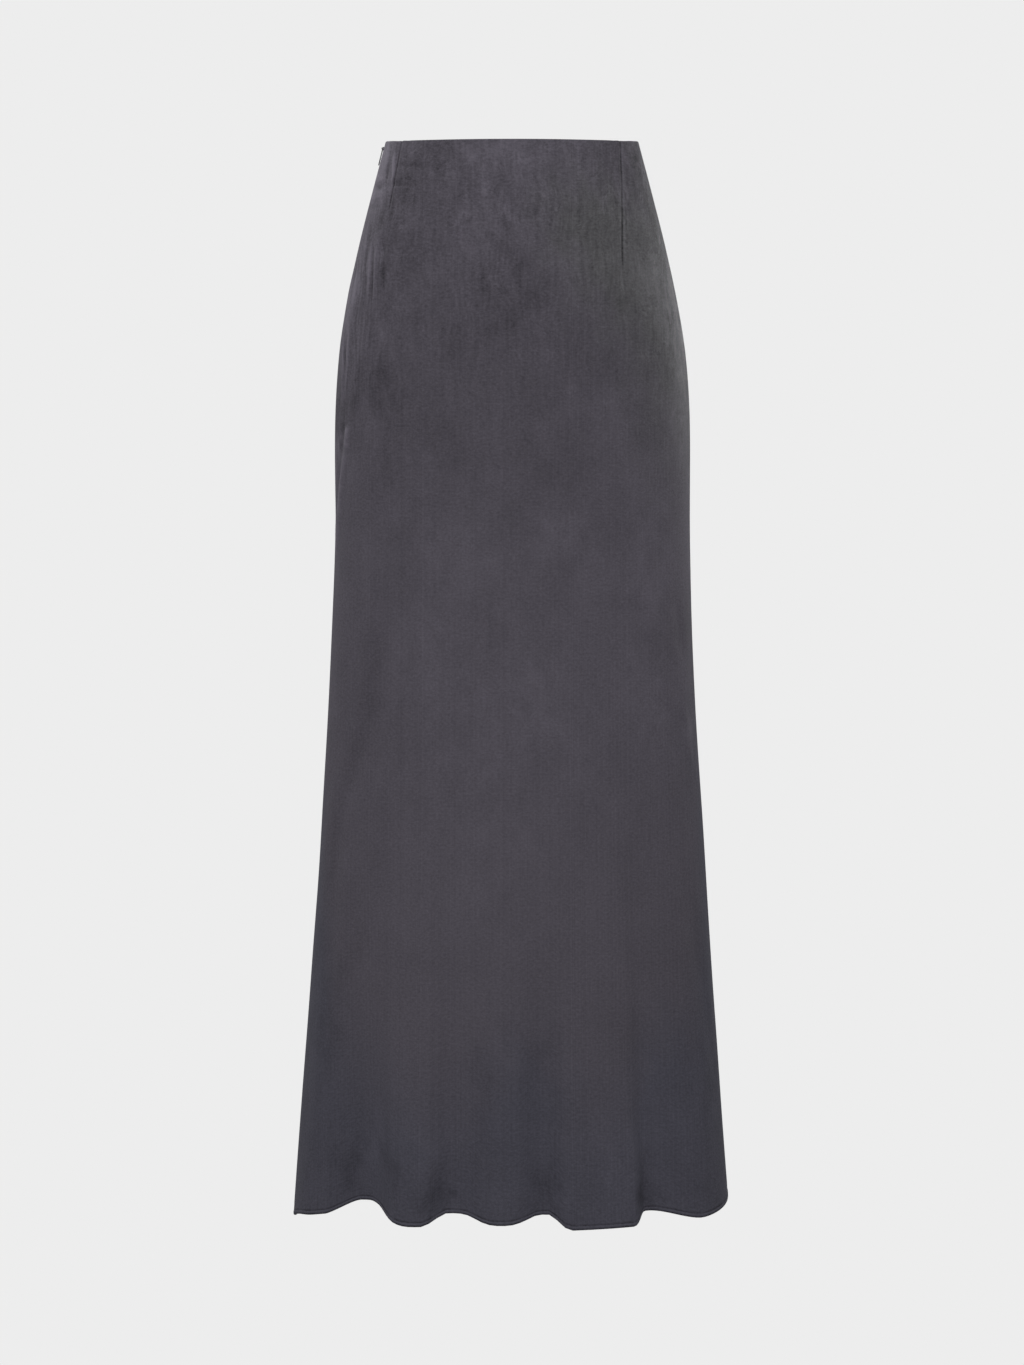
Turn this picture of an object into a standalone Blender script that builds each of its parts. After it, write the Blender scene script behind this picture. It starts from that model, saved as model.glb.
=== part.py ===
"""A long slip skirt, hollow, in the form it takes when worn.

Two panels meet at the side seams, 90 degrees round from the centre front. Each has two waist darts,
folded to the inside, and a narrow turned hem. A concealed zip closes one side seam.
Units are metres and +Z is up. The front faces -Y, and the origin is at the middle of the waist.
"""
import math
from collections import namedtuple

import bmesh
import bpy
from mathutils import Matrix, Vector

# Cloth
LENGTH = 0.978            # waist to hem down the side
WALL = 0.0012             # thickness of the cloth wall
SEAM_GAP = 0.0003         # clearance between two panels at a seam
LAY_GAP = 0.0008          # clearance under what lies on a panel
WAIST_DIP_FRONT = 0.0101  # how far the waist edge dips at the centre front
WAIST_DIP_BACK = 0.007    # and at the centre back
WAIST_DIP_BOW = 0.24      # how much the edge bows between the seams, where 0 is straight
WAIST_PEAK_ROUNDING = 0.08  # how softly it turns over at a side seam
PANEL_COLUMNS = 44        # facets round half the skirt
PANEL_ROWS = 20           # facets down the skirt, above the hem
ROW_CROWDING = 0.05       # how much closer the rows are at the waist and the hem

# Hem
HEM_TURN = 0.007          # depth of the turned hem
HEM_WALL = 0.001
HEM_FOLLOW = 0.75         # how far the hem drops for each metre that a flute stands out
HEM_TILT = 0.0085         # how much lower the hem hangs at the left seam, and higher at the right

# Darts
DART_WALL = 0.0016        # two layers of cloth, folded flat
DART_TOP = 0.002          # how far below the waist edge a dart starts
DART_TIP = 0.0015         # width left at the tip
DART_COLUMNS = 2
DART_ROWS = 6

# Concealed zip
ZIP_LENGTH = 0.235
ZIP_SIDE = -90.0          # degrees round from the centre front
ZIP_OPEN = 0.0026         # width of the seam at the waist edge, where the slider's neck passes
ZIP_OPEN_DEPTH = 0.030    # how far down the seam has closed again
TAPE_WIDTH = 0.012
TAPE_WALL = 0.001
TAPE_TOP = 0.004
COIL_WIDTH = 0.003
COIL_THICK = 0.0018
ZIP_COLUMNS = 2
ZIP_ROWS = 8
SLIDER_DROP = 0.0065      # from the waist edge down to the pull's axis
SLIDER_WIDTH = 0.008
SLIDER_THICK = 0.0032
SLIDER_LENGTH = 0.010
SLIDER_ROUNDING = 0.0008
NECK_WIDTH = 0.001
NECK_HEIGHT = 0.0032
LUG_RADIUS = 0.0012
LUG_HOLE = 0.0007
ROD_SIDES = 20
PULL_STANDOFF = 0.0013    # from the cloth out to the pull's axis
PULL_LENGTH = 0.016
PULL_WIDTH = 0.0048
PULL_HEAD = 0.0040
PULL_THICK = 0.0008
PULL_PIN = 0.0004
PIN_INSET = 0.0003        # how far the pin's ends stop short of the head's sides
PULL_TOP = 0.0009         # how far the fork reaches past the axis
PULL_SLOT = 0.0018
PULL_SLOT_DEPTH = 0.0028
PULL_LEAN = 1.0           # degrees by which the pull leans in, to rest on the cloth

# The pull below its slot: parts of its length down, and parts of its full width there.
PULL_TAPER = ((0.35, 0.64), (0.75, 1.0), (0.93, 0.84), (1.0, 0.36))

# The hanging form: half width, and depth before and behind the side seams.
Section = namedtuple("Section", "down half_width front back")
FORM = (
    Section(0.00, 0.1167, 0.0850, 0.0850),
    Section(0.05, 0.1298, 0.0920, 0.0980),
    Section(0.10, 0.1422, 0.0980, 0.1115),
    Section(0.15, 0.1528, 0.1020, 0.1215),
    Section(0.20, 0.1604, 0.1045, 0.1265),
    Section(0.26, 0.1641, 0.1050, 0.1265),
    Section(0.38, 0.1644, 0.1040, 0.1200),
    Section(0.55, 0.1707, 0.1070, 0.1170),
    Section(0.75, 0.1845, 0.1180, 0.1240),
    Section(1.00, 0.2025, 0.1330, 0.1370),
)

# Soft flutes that stand out at the hem. Angles are degrees round from the centre front, to the right.
# A run is the angle over which a side of the flute turns, and rise is how far above the hem it starts.
Flute = namedtuple("Flute", "left right left_run right_run depth rise")
FLUTES = (
    Flute(-105, -62, 16, 16, 0.0035, 0.45),
    Flute(-53, -37.5, 12, 14, -0.015, 0.35),
    Flute(-33, -20.3, 13, 7, 0.011, 0.50),
    Flute(-19.5, -11, 5, 8, -0.0035, 0.25),
    Flute(-8.5, 3, 9, 9, 0.0085, 0.40),
    Flute(5, 11, 5, 4, -0.0025, 0.25),
    Flute(12.2, 34.4, 5, 6, 0.0138, 0.50),
    Flute(46.5, 74.5, 18, 40, 0.015, 0.45),
    Flute(101, 116, 12, 10, 0.010, 0.40),
    Flute(126, 140, 9, 9, 0.0125, 0.40),
    Flute(152, 168, 9, 8, 0.0135, 0.50),
    Flute(178, 192, 8, 10, 0.012, 0.45),
    Flute(203, 219, 9, 8, 0.014, 0.55),
    Flute(230, 244, 9, 11, 0.0115, 0.40),
)
FLUTE_REST = 0.003        # how far the cloth between flutes falls back
FLUTE_GROWTH = 1.6        # above 1, so that a flute deepens faster towards the hem

# Darts, as angles at the waist edge and at the tip; the intake is its folded width at the waist.
Dart = namedtuple("Dart", "name waist_angle tip_angle length intake toward")
DARTS = (
    Dart("front_dart_right", 57.0, 42.5, 0.134, 0.010, -1),
    Dart("front_dart_left", -58.5, -55.0, 0.100, 0.010, 1),
    Dart("back_dart_right", 137.0, 145.0, 0.125, 0.012, 1),
    Dart("back_dart_left", 223.0, 215.0, 0.125, 0.012, -1),
)


# Shape of the skirt

NEAR_ANGLE = 0.5          # degrees to the points that give the cloth's direction round the skirt
NEAR_FRACTION = 0.002     # and down it


def form_at(down):
    """Half width, front depth and back depth at a height below the waist, on a smooth curve."""
    last = len(FORM) - 2
    index = min(max(sum(section.down <= down for section in FORM) - 1, 0), last)
    before = FORM[max(index - 1, 0)]
    start = FORM[index]
    end = FORM[index + 1]
    after = FORM[min(index + 2, len(FORM) - 1)]
    span = end.down - start.down
    t = (down - start.down) / span
    sizes = []
    for column in (1, 2, 3):
        start_slope = (end[column] - before[column]) / (end.down - before.down) * span
        end_slope = (after[column] - start[column]) / (after.down - start.down) * span
        sizes.append(
            (2 * t**3 - 3 * t**2 + 1) * start[column]
            + (t**3 - 2 * t**2 + t) * start_slope
            + (3 * t**2 - 2 * t**3) * end[column]
            + (t**3 - t**2) * end_slope
        )
    return sizes


def step(distance, run):
    """0 to 1 over a run centred on 0, with soft ends."""
    t = min(max(distance / run + 0.5, 0.0), 1.0)
    return t * t * (3 - 2 * t)


def flute_stand(angle, down):
    """How far the cloth stands out of the plain form."""
    stand = 0.0
    for flute in FLUTES:
        growth = max(down - (LENGTH - flute.rise), 0.0) / flute.rise
        middle = (flute.left + flute.right) / 2
        around = (angle - middle + 180) % 360 - 180 + middle
        width = step(around - flute.left, flute.left_run) * step(flute.right - around, flute.right_run)
        stand += (flute.depth * width - FLUTE_REST / len(FLUTES)) * growth**FLUTE_GROWTH
    return stand


def waist_dip(forward):
    """How far the waist edge dips, from a soft peak at the side seams to the centre front and back."""
    deepest = WAIST_DIP_FRONT if forward > 0 else WAIST_DIP_BACK
    rounding = WAIST_PEAK_ROUNDING
    share = (math.hypot(forward, rounding) - rounding) / (math.hypot(1, rounding) - rounding)
    return deepest * share * (1 + WAIST_DIP_BOW * (1 - share))


def skin(angle, fraction):
    """A point of the cloth's outer face: degrees round from the front, and 0 to 1 from waist to hem."""
    turn = math.radians(angle)
    forward = math.cos(turn)
    dip = waist_dip(forward)
    stand = flute_stand(angle, fraction * LENGTH)
    hem_drop = LENGTH + HEM_FOLLOW * stand - HEM_TILT * math.sin(turn)**3
    height = -dip * (1 - fraction) - hem_drop * fraction
    half_width, front, back = form_at(-height)
    depth = front if forward > 0 else back
    outward = Vector((math.sin(turn) / half_width, -forward / depth, 0)).normalized()
    return Vector((half_width * math.sin(turn), -depth * forward, height)) + stand * outward


def inside(angle, fraction, offset):
    """A point of the skin moved in, square to the cloth."""
    around = skin(angle + NEAR_ANGLE, fraction) - skin(angle - NEAR_ANGLE, fraction)
    upward = skin(angle, fraction - NEAR_FRACTION) - skin(angle, fraction + NEAR_FRACTION)
    return skin(angle, fraction) - around.cross(upward).normalized() * offset


def degrees_for(width, angle, fraction):
    """The angle that a short width spans round the skirt."""
    nearby = skin(angle + NEAR_ANGLE, fraction) - skin(angle - NEAR_ANGLE, fraction)
    return width / nearby.length * 2 * NEAR_ANGLE


# Building

def clear_scene():
    for item in list(bpy.data.objects):
        bpy.data.objects.remove(item, do_unlink=True)


def make_collection(name):
    collection = bpy.data.collections.new(name)
    bpy.context.scene.collection.children.link(collection)
    return collection


def make_material(name, colour, roughness, metallic=0.0):
    material = bpy.data.materials.new(name)
    material.use_nodes = True
    surface = material.node_tree.nodes["Principled BSDF"]
    surface.inputs["Base Color"].default_value = (*colour, 1)
    surface.inputs["Roughness"].default_value = roughness
    surface.inputs["Metallic"].default_value = metallic
    return material


def add_object(name, mesh, material, collection):
    item = bpy.data.objects.new(name, mesh)
    item.data.materials.append(material)
    collection.objects.link(item)
    return item


def strip(name, columns, rows, place, wall, material, collection):
    """A sheet of cloth: a grid laid on the form by place(across, down), thickened to the inside."""
    mesh = bpy.data.meshes.new(name)
    grid = bmesh.new()
    bmesh.ops.create_grid(grid, x_segments=columns, y_segments=rows, size=0.5)
    for vertex in grid.verts:
        vertex.co = place(vertex.co.x + 0.5, 0.5 - vertex.co.y)
    grid.to_mesh(mesh)
    grid.free()
    mesh.shade_smooth()
    item = add_object(name, mesh, material, collection)
    thicken = item.modifiers.new("thickness", "SOLIDIFY")
    thicken.thickness = wall
    thicken.offset = -1
    return item


def row_fraction(down):
    """Rows of facets, closer together towards the waist and the hem."""
    return down - ROW_CROWDING * math.sin(2 * math.pi * down)


def seam_half_gap(angle, fraction):
    """Half the seam's clearance: the zip's seam opens at the waist edge for the slider."""
    half = SEAM_GAP / 2
    if abs(angle - ZIP_SIDE) < 1 or abs(angle - ZIP_SIDE - 360) < 1:
        closing = max(1 - fraction * LENGTH / ZIP_OPEN_DEPTH, 0)
        half += (ZIP_OPEN - SEAM_GAP) / 2 * closing
    return half


def panel_angle(across, fraction, first, last):
    """The angle at 0 to 1 across a panel that stops short of its seams by their clearance."""
    start = first + degrees_for(seam_half_gap(first, fraction), first, fraction)
    end = last - degrees_for(seam_half_gap(last, fraction), last, fraction)
    return start + (end - start) * across


def make_panel(name, first, last, material, collection):
    above_hem = 1 - HEM_TURN / LENGTH

    def place(across, down):
        row = round(down * (PANEL_ROWS + 1))
        fraction = 1.0 if row > PANEL_ROWS else above_hem * row_fraction(row / PANEL_ROWS)
        return skin(panel_angle(across, fraction, first, last), fraction)

    return strip(name, PANEL_COLUMNS, PANEL_ROWS + 1, place, WALL, material, collection)


def make_hem(name, first, last, material, collection):
    above_hem = 1 - HEM_TURN / LENGTH

    def place(across, down):
        fraction = above_hem + (1 - above_hem) * down
        return inside(panel_angle(across, fraction, first, last), fraction, WALL + LAY_GAP)

    return strip(name, PANEL_COLUMNS, 1, place, HEM_WALL, material, collection)


def make_dart(dart, material, collection):
    top = DART_TOP / LENGTH

    def place(across, down):
        fraction = top + (dart.length / LENGTH - top) * down
        angle = dart.waist_angle + (dart.tip_angle - dart.waist_angle) * down
        width = degrees_for(dart.intake + (DART_TIP - dart.intake) * down, angle, fraction)
        side = across if dart.toward > 0 else across - 1
        return inside(angle + side * width, fraction, WALL + LAY_GAP)

    return strip(dart.name, DART_COLUMNS, DART_ROWS, place, DART_WALL, material, collection)


def make_zip_tape(name, side, material, collection):
    """A tape that lies inside one panel, along the zip's seam; side is 1 in front and -1 behind."""
    inner_edge = COIL_WIDTH / 2

    def place(across, down):
        fraction = (TAPE_TOP + (ZIP_LENGTH - TAPE_TOP) * down) / LENGTH
        width = inner_edge + TAPE_WIDTH * (across if side > 0 else 1 - across)
        angle = ZIP_SIDE + side * degrees_for(width, ZIP_SIDE, fraction)
        return inside(angle, fraction, WALL + LAY_GAP)

    return strip(name, ZIP_COLUMNS, ZIP_ROWS, place, TAPE_WALL, material, collection)


def make_zip_coil(material, collection):
    top = SLIDER_DROP + SLIDER_LENGTH / 2 + LAY_GAP

    def place(across, down):
        fraction = (top + (ZIP_LENGTH - top) * down) / LENGTH
        angle = ZIP_SIDE + degrees_for(COIL_WIDTH * (across - 0.5), ZIP_SIDE, fraction)
        return inside(angle, fraction, WALL + LAY_GAP + TAPE_WALL + LAY_GAP)

    return strip("zip_coil", ZIP_COLUMNS, ZIP_ROWS, place, COIL_THICK, material, collection)


def zip_frame():
    """Where the pull hinges: -X points out of the cloth and +Z runs up along the seam."""
    fraction = SLIDER_DROP / LENGTH
    on_cloth = skin(ZIP_SIDE, fraction)
    above = skin(ZIP_SIDE, 0.0)
    upward = (above - on_cloth).normalized()
    slope = math.atan2(upward.x, upward.z)
    outward = Vector((-math.cos(slope), 0, math.sin(slope)))
    return on_cloth + outward * PULL_STANDOFF, slope


def add_cutter(name, mesh, collection):
    cutter = bpy.data.objects.new(name, mesh)
    cutter.display_type = "WIRE"
    cutter.hide_render = True
    collection.objects.link(cutter)
    return cutter


def box_mesh(name, size, middle):
    mesh = bpy.data.meshes.new(name)
    shape = bmesh.new()
    bmesh.ops.create_cube(shape, size=1, matrix=Matrix.Translation(middle) @ Matrix.Diagonal((*size, 1)))
    shape.to_mesh(mesh)
    shape.free()
    return mesh


def rod_mesh(name, radius, length):
    """A rod along Y, centred on the origin."""
    mesh = bpy.data.meshes.new(name)
    shape = bmesh.new()
    bmesh.ops.create_cone(
        shape, cap_ends=True, segments=ROD_SIDES, radius1=radius, radius2=radius, depth=length,
        matrix=Matrix.Rotation(math.radians(90), 4, "X"),
    )
    shape.to_mesh(mesh)
    shape.free()
    return mesh


def combine(item, other, operation):
    boolean = item.modifiers.new(operation.lower(), "BOOLEAN")
    boolean.object = other
    boolean.operation = operation
    other.parent = item


def round_edges(item, width):
    bevel = item.modifiers.new("round", "BEVEL")
    bevel.width = width
    bevel.segments = 2
    bevel.limit_method = "ANGLE"


def make_slider(anchor, material, collection, cutters):
    """A body behind the tapes, a thin neck out through the seam, and a lug with the pull's hole."""
    behind = PULL_STANDOFF + WALL + TAPE_WALL + 3 * LAY_GAP
    body_middle = (behind + SLIDER_THICK / 2, 0, 0)
    body = box_mesh("zip_slider", (SLIDER_THICK, SLIDER_WIDTH, SLIDER_LENGTH), body_middle)
    slider = add_object("zip_slider", body, material, collection)
    slider.parent = anchor
    round_edges(slider, SLIDER_ROUNDING)
    reach = behind + SLIDER_THICK / 2
    neck = add_cutter("neck", box_mesh("neck", (reach, NECK_WIDTH, NECK_HEIGHT), (reach / 2, 0, 0)), cutters)
    lug = add_cutter("lug", rod_mesh("lug", LUG_RADIUS, NECK_WIDTH), cutters)
    hole = add_cutter("hole", rod_mesh("hole", LUG_HOLE, 2 * SLIDER_WIDTH), cutters)
    combine(slider, neck, "UNION")
    combine(slider, lug, "UNION")
    combine(slider, hole, "DIFFERENCE")
    return slider


def pull_outline():
    """The pull's outline as points across and up from its axis."""
    right = [(PULL_HEAD / 2, PULL_TOP), (PULL_HEAD / 2, -PULL_SLOT_DEPTH)]
    for down, width in PULL_TAPER:
        right.append((width * PULL_WIDTH / 2, -down * PULL_LENGTH))
    left = [(-across, up) for across, up in reversed(right)]
    return right + left


def make_pull(anchor, material, collection, cutters):
    """A flat tab with a forked head, whose pin passes through the slider's lug."""
    outline = bpy.data.curves.new("zip_pull", "CURVE")
    outline.dimensions = "2D"
    outline.fill_mode = "BOTH"
    outline.extrude = PULL_THICK / 2
    points = pull_outline()
    spline = outline.splines.new("POLY")
    spline.points.add(len(points) - 1)
    spline.use_cyclic_u = True
    for point, (across, up) in zip(spline.points, points):
        point.co = (across, up, 0, 1)
    flat = bpy.data.objects.new("pull_outline", outline)
    collection.objects.link(flat)
    bpy.context.view_layer.update()
    mesh = bpy.data.meshes.new_from_object(flat.evaluated_get(bpy.context.evaluated_depsgraph_get()))
    bpy.data.objects.remove(flat, do_unlink=True)
    # The outline's own X runs along the pin (Y) and its Y runs up (Z).
    mesh.transform(Matrix(((0, 0, 1, 0), (1, 0, 0, 0), (0, 1, 0, 0), (0, 0, 0, 1))))
    shape = bmesh.new()
    shape.from_mesh(mesh)
    bmesh.ops.remove_doubles(shape, verts=shape.verts, dist=1e-6)
    bmesh.ops.recalc_face_normals(shape, faces=shape.faces)
    shape.to_mesh(mesh)
    shape.free()
    mesh.name = "zip_pull"
    mesh.materials.clear()
    pull = add_object("zip_pull", mesh, material, collection)
    pull.parent = anchor
    pull.rotation_euler = (0, math.radians(-PULL_LEAN), 0)
    slot_height = PULL_SLOT_DEPTH + 2 * PULL_TOP
    slot_middle = (0, 0, slot_height / 2 - PULL_SLOT_DEPTH)
    slot_mesh = box_mesh("slot", (4 * PULL_THICK, PULL_SLOT, slot_height), slot_middle)
    combine(pull, add_cutter("slot", slot_mesh, cutters), "DIFFERENCE")
    pin = add_cutter("pin", rod_mesh("pin", PULL_PIN, PULL_HEAD - 2 * PIN_INSET), cutters)
    combine(pull, pin, "UNION")
    return pull


def main():
    clear_scene()
    skirt = make_collection("slip_skirt")
    cutters = make_collection("cutters")
    cloth = make_material("charcoal_satin", (0.068, 0.064, 0.082), 0.55)
    turned_cloth = make_material("turned_satin", (0.060, 0.057, 0.074), 0.6)
    tape_cloth = make_material("zip_tape", (0.035, 0.034, 0.045), 0.8)
    nylon = make_material("zip_nylon", (0.030, 0.030, 0.038), 0.45)
    metal = make_material("painted_metal", (0.050, 0.048, 0.060), 0.35, 0.0)

    make_panel("front_panel", -90, 90, cloth, skirt)
    make_panel("back_panel", 90, 270, cloth, skirt)
    make_hem("hem_front", -90, 90, turned_cloth, skirt)
    make_hem("hem_back", 90, 270, turned_cloth, skirt)
    for dart in DARTS:
        make_dart(dart, turned_cloth, skirt)
    make_zip_tape("zip_tape_front", 1, tape_cloth, skirt)
    make_zip_tape("zip_tape_back", -1, tape_cloth, skirt)
    make_zip_coil(nylon, skirt)

    hinge, slope = zip_frame()
    anchor = bpy.data.objects.new("zip_axis", None)
    anchor.location = hinge
    anchor.rotation_euler = (0, slope, 0)
    skirt.objects.link(anchor)
    make_slider(anchor, metal, skirt, cutters)
    make_pull(anchor, metal, skirt, cutters)


main()
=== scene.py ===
"""A long charcoal satin slip skirt: two panels with turned edges, four darts and a concealed side zip.

Units are metres and +Z is up. The front faces -Y, and angles are degrees round from the centre front.
Left and right are those of someone who looks at the front.
"""
import math
from collections import namedtuple

import bmesh
import bpy
import numpy as np
from mathutils import Matrix, Vector


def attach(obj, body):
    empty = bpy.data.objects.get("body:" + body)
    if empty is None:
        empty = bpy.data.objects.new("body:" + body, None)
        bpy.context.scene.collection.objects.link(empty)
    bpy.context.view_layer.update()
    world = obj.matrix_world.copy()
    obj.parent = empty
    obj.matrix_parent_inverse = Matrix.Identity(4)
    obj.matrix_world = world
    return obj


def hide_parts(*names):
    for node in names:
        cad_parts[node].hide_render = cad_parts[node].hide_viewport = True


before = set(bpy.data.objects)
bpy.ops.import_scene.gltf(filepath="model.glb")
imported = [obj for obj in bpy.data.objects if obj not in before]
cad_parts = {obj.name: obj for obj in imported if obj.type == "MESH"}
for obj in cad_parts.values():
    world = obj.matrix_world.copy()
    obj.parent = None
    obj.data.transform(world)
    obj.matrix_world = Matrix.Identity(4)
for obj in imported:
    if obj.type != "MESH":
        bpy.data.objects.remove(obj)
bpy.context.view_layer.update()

# ---------------------------------------------------------------- sizes of the skirt

LENGTH = 0.978            # from the waist to the hem at a side seam
WAIST_DIP_FRONT = 0.0101  # how far the waist edge dips at the centre front and back
WAIST_DIP_BACK = 0.007
WAIST_DIP_BOW = 0.24      # how much of the dip comes early, near the seams
WAIST_PEAK_ROUNDING = 0.08
HEM_FOLLOW = 0.75         # how far the hem drops for each metre that a flute stands out
HEM_TILT = 0.0085         # how far the hem rises to the right seam and drops to the left one
HEM_CORNER = 0.0045       # the hem's drop at the zip's seam
HEM_CORNER_TURN = 10.0    # how far round it reaches, in degrees
HEM_CORNER_FADE = 8       # how fast it fades upwards

# The plain form at distances below the waist: half its width, and its depths in front and behind.
Section = namedtuple("Section", "down half_width front back")
FORM = (
    Section(0.00, 0.1167, 0.0850, 0.0850),
    Section(0.05, 0.1298, 0.0920, 0.0980),
    Section(0.10, 0.1422, 0.0980, 0.1115),
    Section(0.15, 0.1528, 0.1020, 0.1215),
    Section(0.20, 0.1604, 0.1045, 0.1265),
    Section(0.26, 0.1641, 0.1050, 0.1265),
    Section(0.38, 0.1644, 0.1040, 0.1200),
    Section(0.55, 0.1707, 0.1070, 0.1170),
    Section(0.75, 0.1845, 0.1180, 0.1240),
    Section(1.00, 0.2025, 0.1330, 0.1370),
)

# Soft flutes at the hem. Each lies between two angles, with a run at both sides; it stands out by its
# depth, or in where that is below 0; and it rises so far above the hem.
Flute = namedtuple("Flute", "left right left_run right_run depth rise")
FLUTES = (
    Flute(-105, -62, 16, 16, 0.0035, 0.45),
    Flute(-53, -37.5, 12, 14, -0.015, 0.35),
    Flute(-33, -20.3, 13, 7, 0.011, 0.50),
    Flute(-19.5, -11, 5, 8, -0.0035, 0.25),
    Flute(-8.5, 3, 9, 9, 0.0085, 0.40),
    Flute(5, 11, 5, 4, -0.0025, 0.25),
    Flute(12.2, 34.4, 5, 6, 0.0138, 0.50),
    Flute(46.5, 74.5, 18, 40, 0.015, 0.45),
    Flute(101, 116, 12, 10, 0.010, 0.40),
    Flute(126, 140, 9, 9, 0.0125, 0.40),
    Flute(152, 168, 9, 8, 0.0135, 0.50),
    Flute(178, 192, 8, 10, 0.012, 0.45),
    Flute(203, 219, 9, 8, 0.014, 0.55),
    Flute(230, 244, 9, 11, 0.0115, 0.40),
)
FLUTE_REST = 0.003        # how far in the hem falls to make up for them
FLUTE_GROWTH = 1.6        # how late they grow towards the hem

# A dart's line is how much shade is painted along its sewn line, and it shows as far down as the cloth is
# drawn in.
Dart = namedtuple("Dart", "name waist_angle tip_angle length intake toward bow line shows")
DARTS = (
    Dart("front_dart_right", 56.6, 41.6, 0.130, 0.010, -1, 0.32, 0.50, 0.130),
    Dart("front_dart_left", -58.5, -55.0, 0.100, 0.010, 1, 0.0, 0.34, 0.066),
    Dart("back_dart_right", 137.0, 145.0, 0.125, 0.012, 1, 0.1, 0.45, 0.120),
    Dart("back_dart_left", 223.0, 215.0, 0.125, 0.012, -1, 0.1, 0.45, 0.116),
)

# Cloth and its turned edges
CLOTH = 0.0003            # thickness of the satin
WAIST_TURN = 0.010        # the edge turned in at the waist
HEM_TURN = 0.0062         # the narrow hem, turned twice
SEAM_TURN = 0.012         # allowance pressed open inside each side seam
WAIST_FOLD = 0.0006       # radii of the folds
HEM_FOLD = 0.0010
SEAM_FOLD = 0.0005
HEM_STITCH = 0.0032       # from the hem's edge up to its line of stitches

# Concealed zip
ZIP_SIDE = -90.0
ZIP_LENGTH = 0.235
TAPE_TOP = 0.004
TAPE_WIDTH = 0.012
COIL_WIDTH = 0.003
SLIDER_DROP = 0.0065      # from the waist edge down to the pull's hinge
SLIDER_LENGTH = 0.010
SLIDER_BEHIND = 0.0060    # from the hinge in to the slider's body
SLIDER_THICK = 0.0030
NECK_WIDTH = 0.0010
NECK_HEIGHT = 0.0032
LUG_RADIUS = 0.0012
LUG_HOLE = 0.0007
PULL_STANDOFF = 0.0013    # from the cloth out to the hinge
PULL_THICK = 0.0008
PULL_PIN = 0.0004
PULL_PIN_LENGTH = 0.0034
PULL_SLOT = 0.0018
PULL_SLOT_HEIGHT = 0.0046
PULL_LEAN = 1.0           # degrees by which the pull leans in, to rest on the cloth
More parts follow.
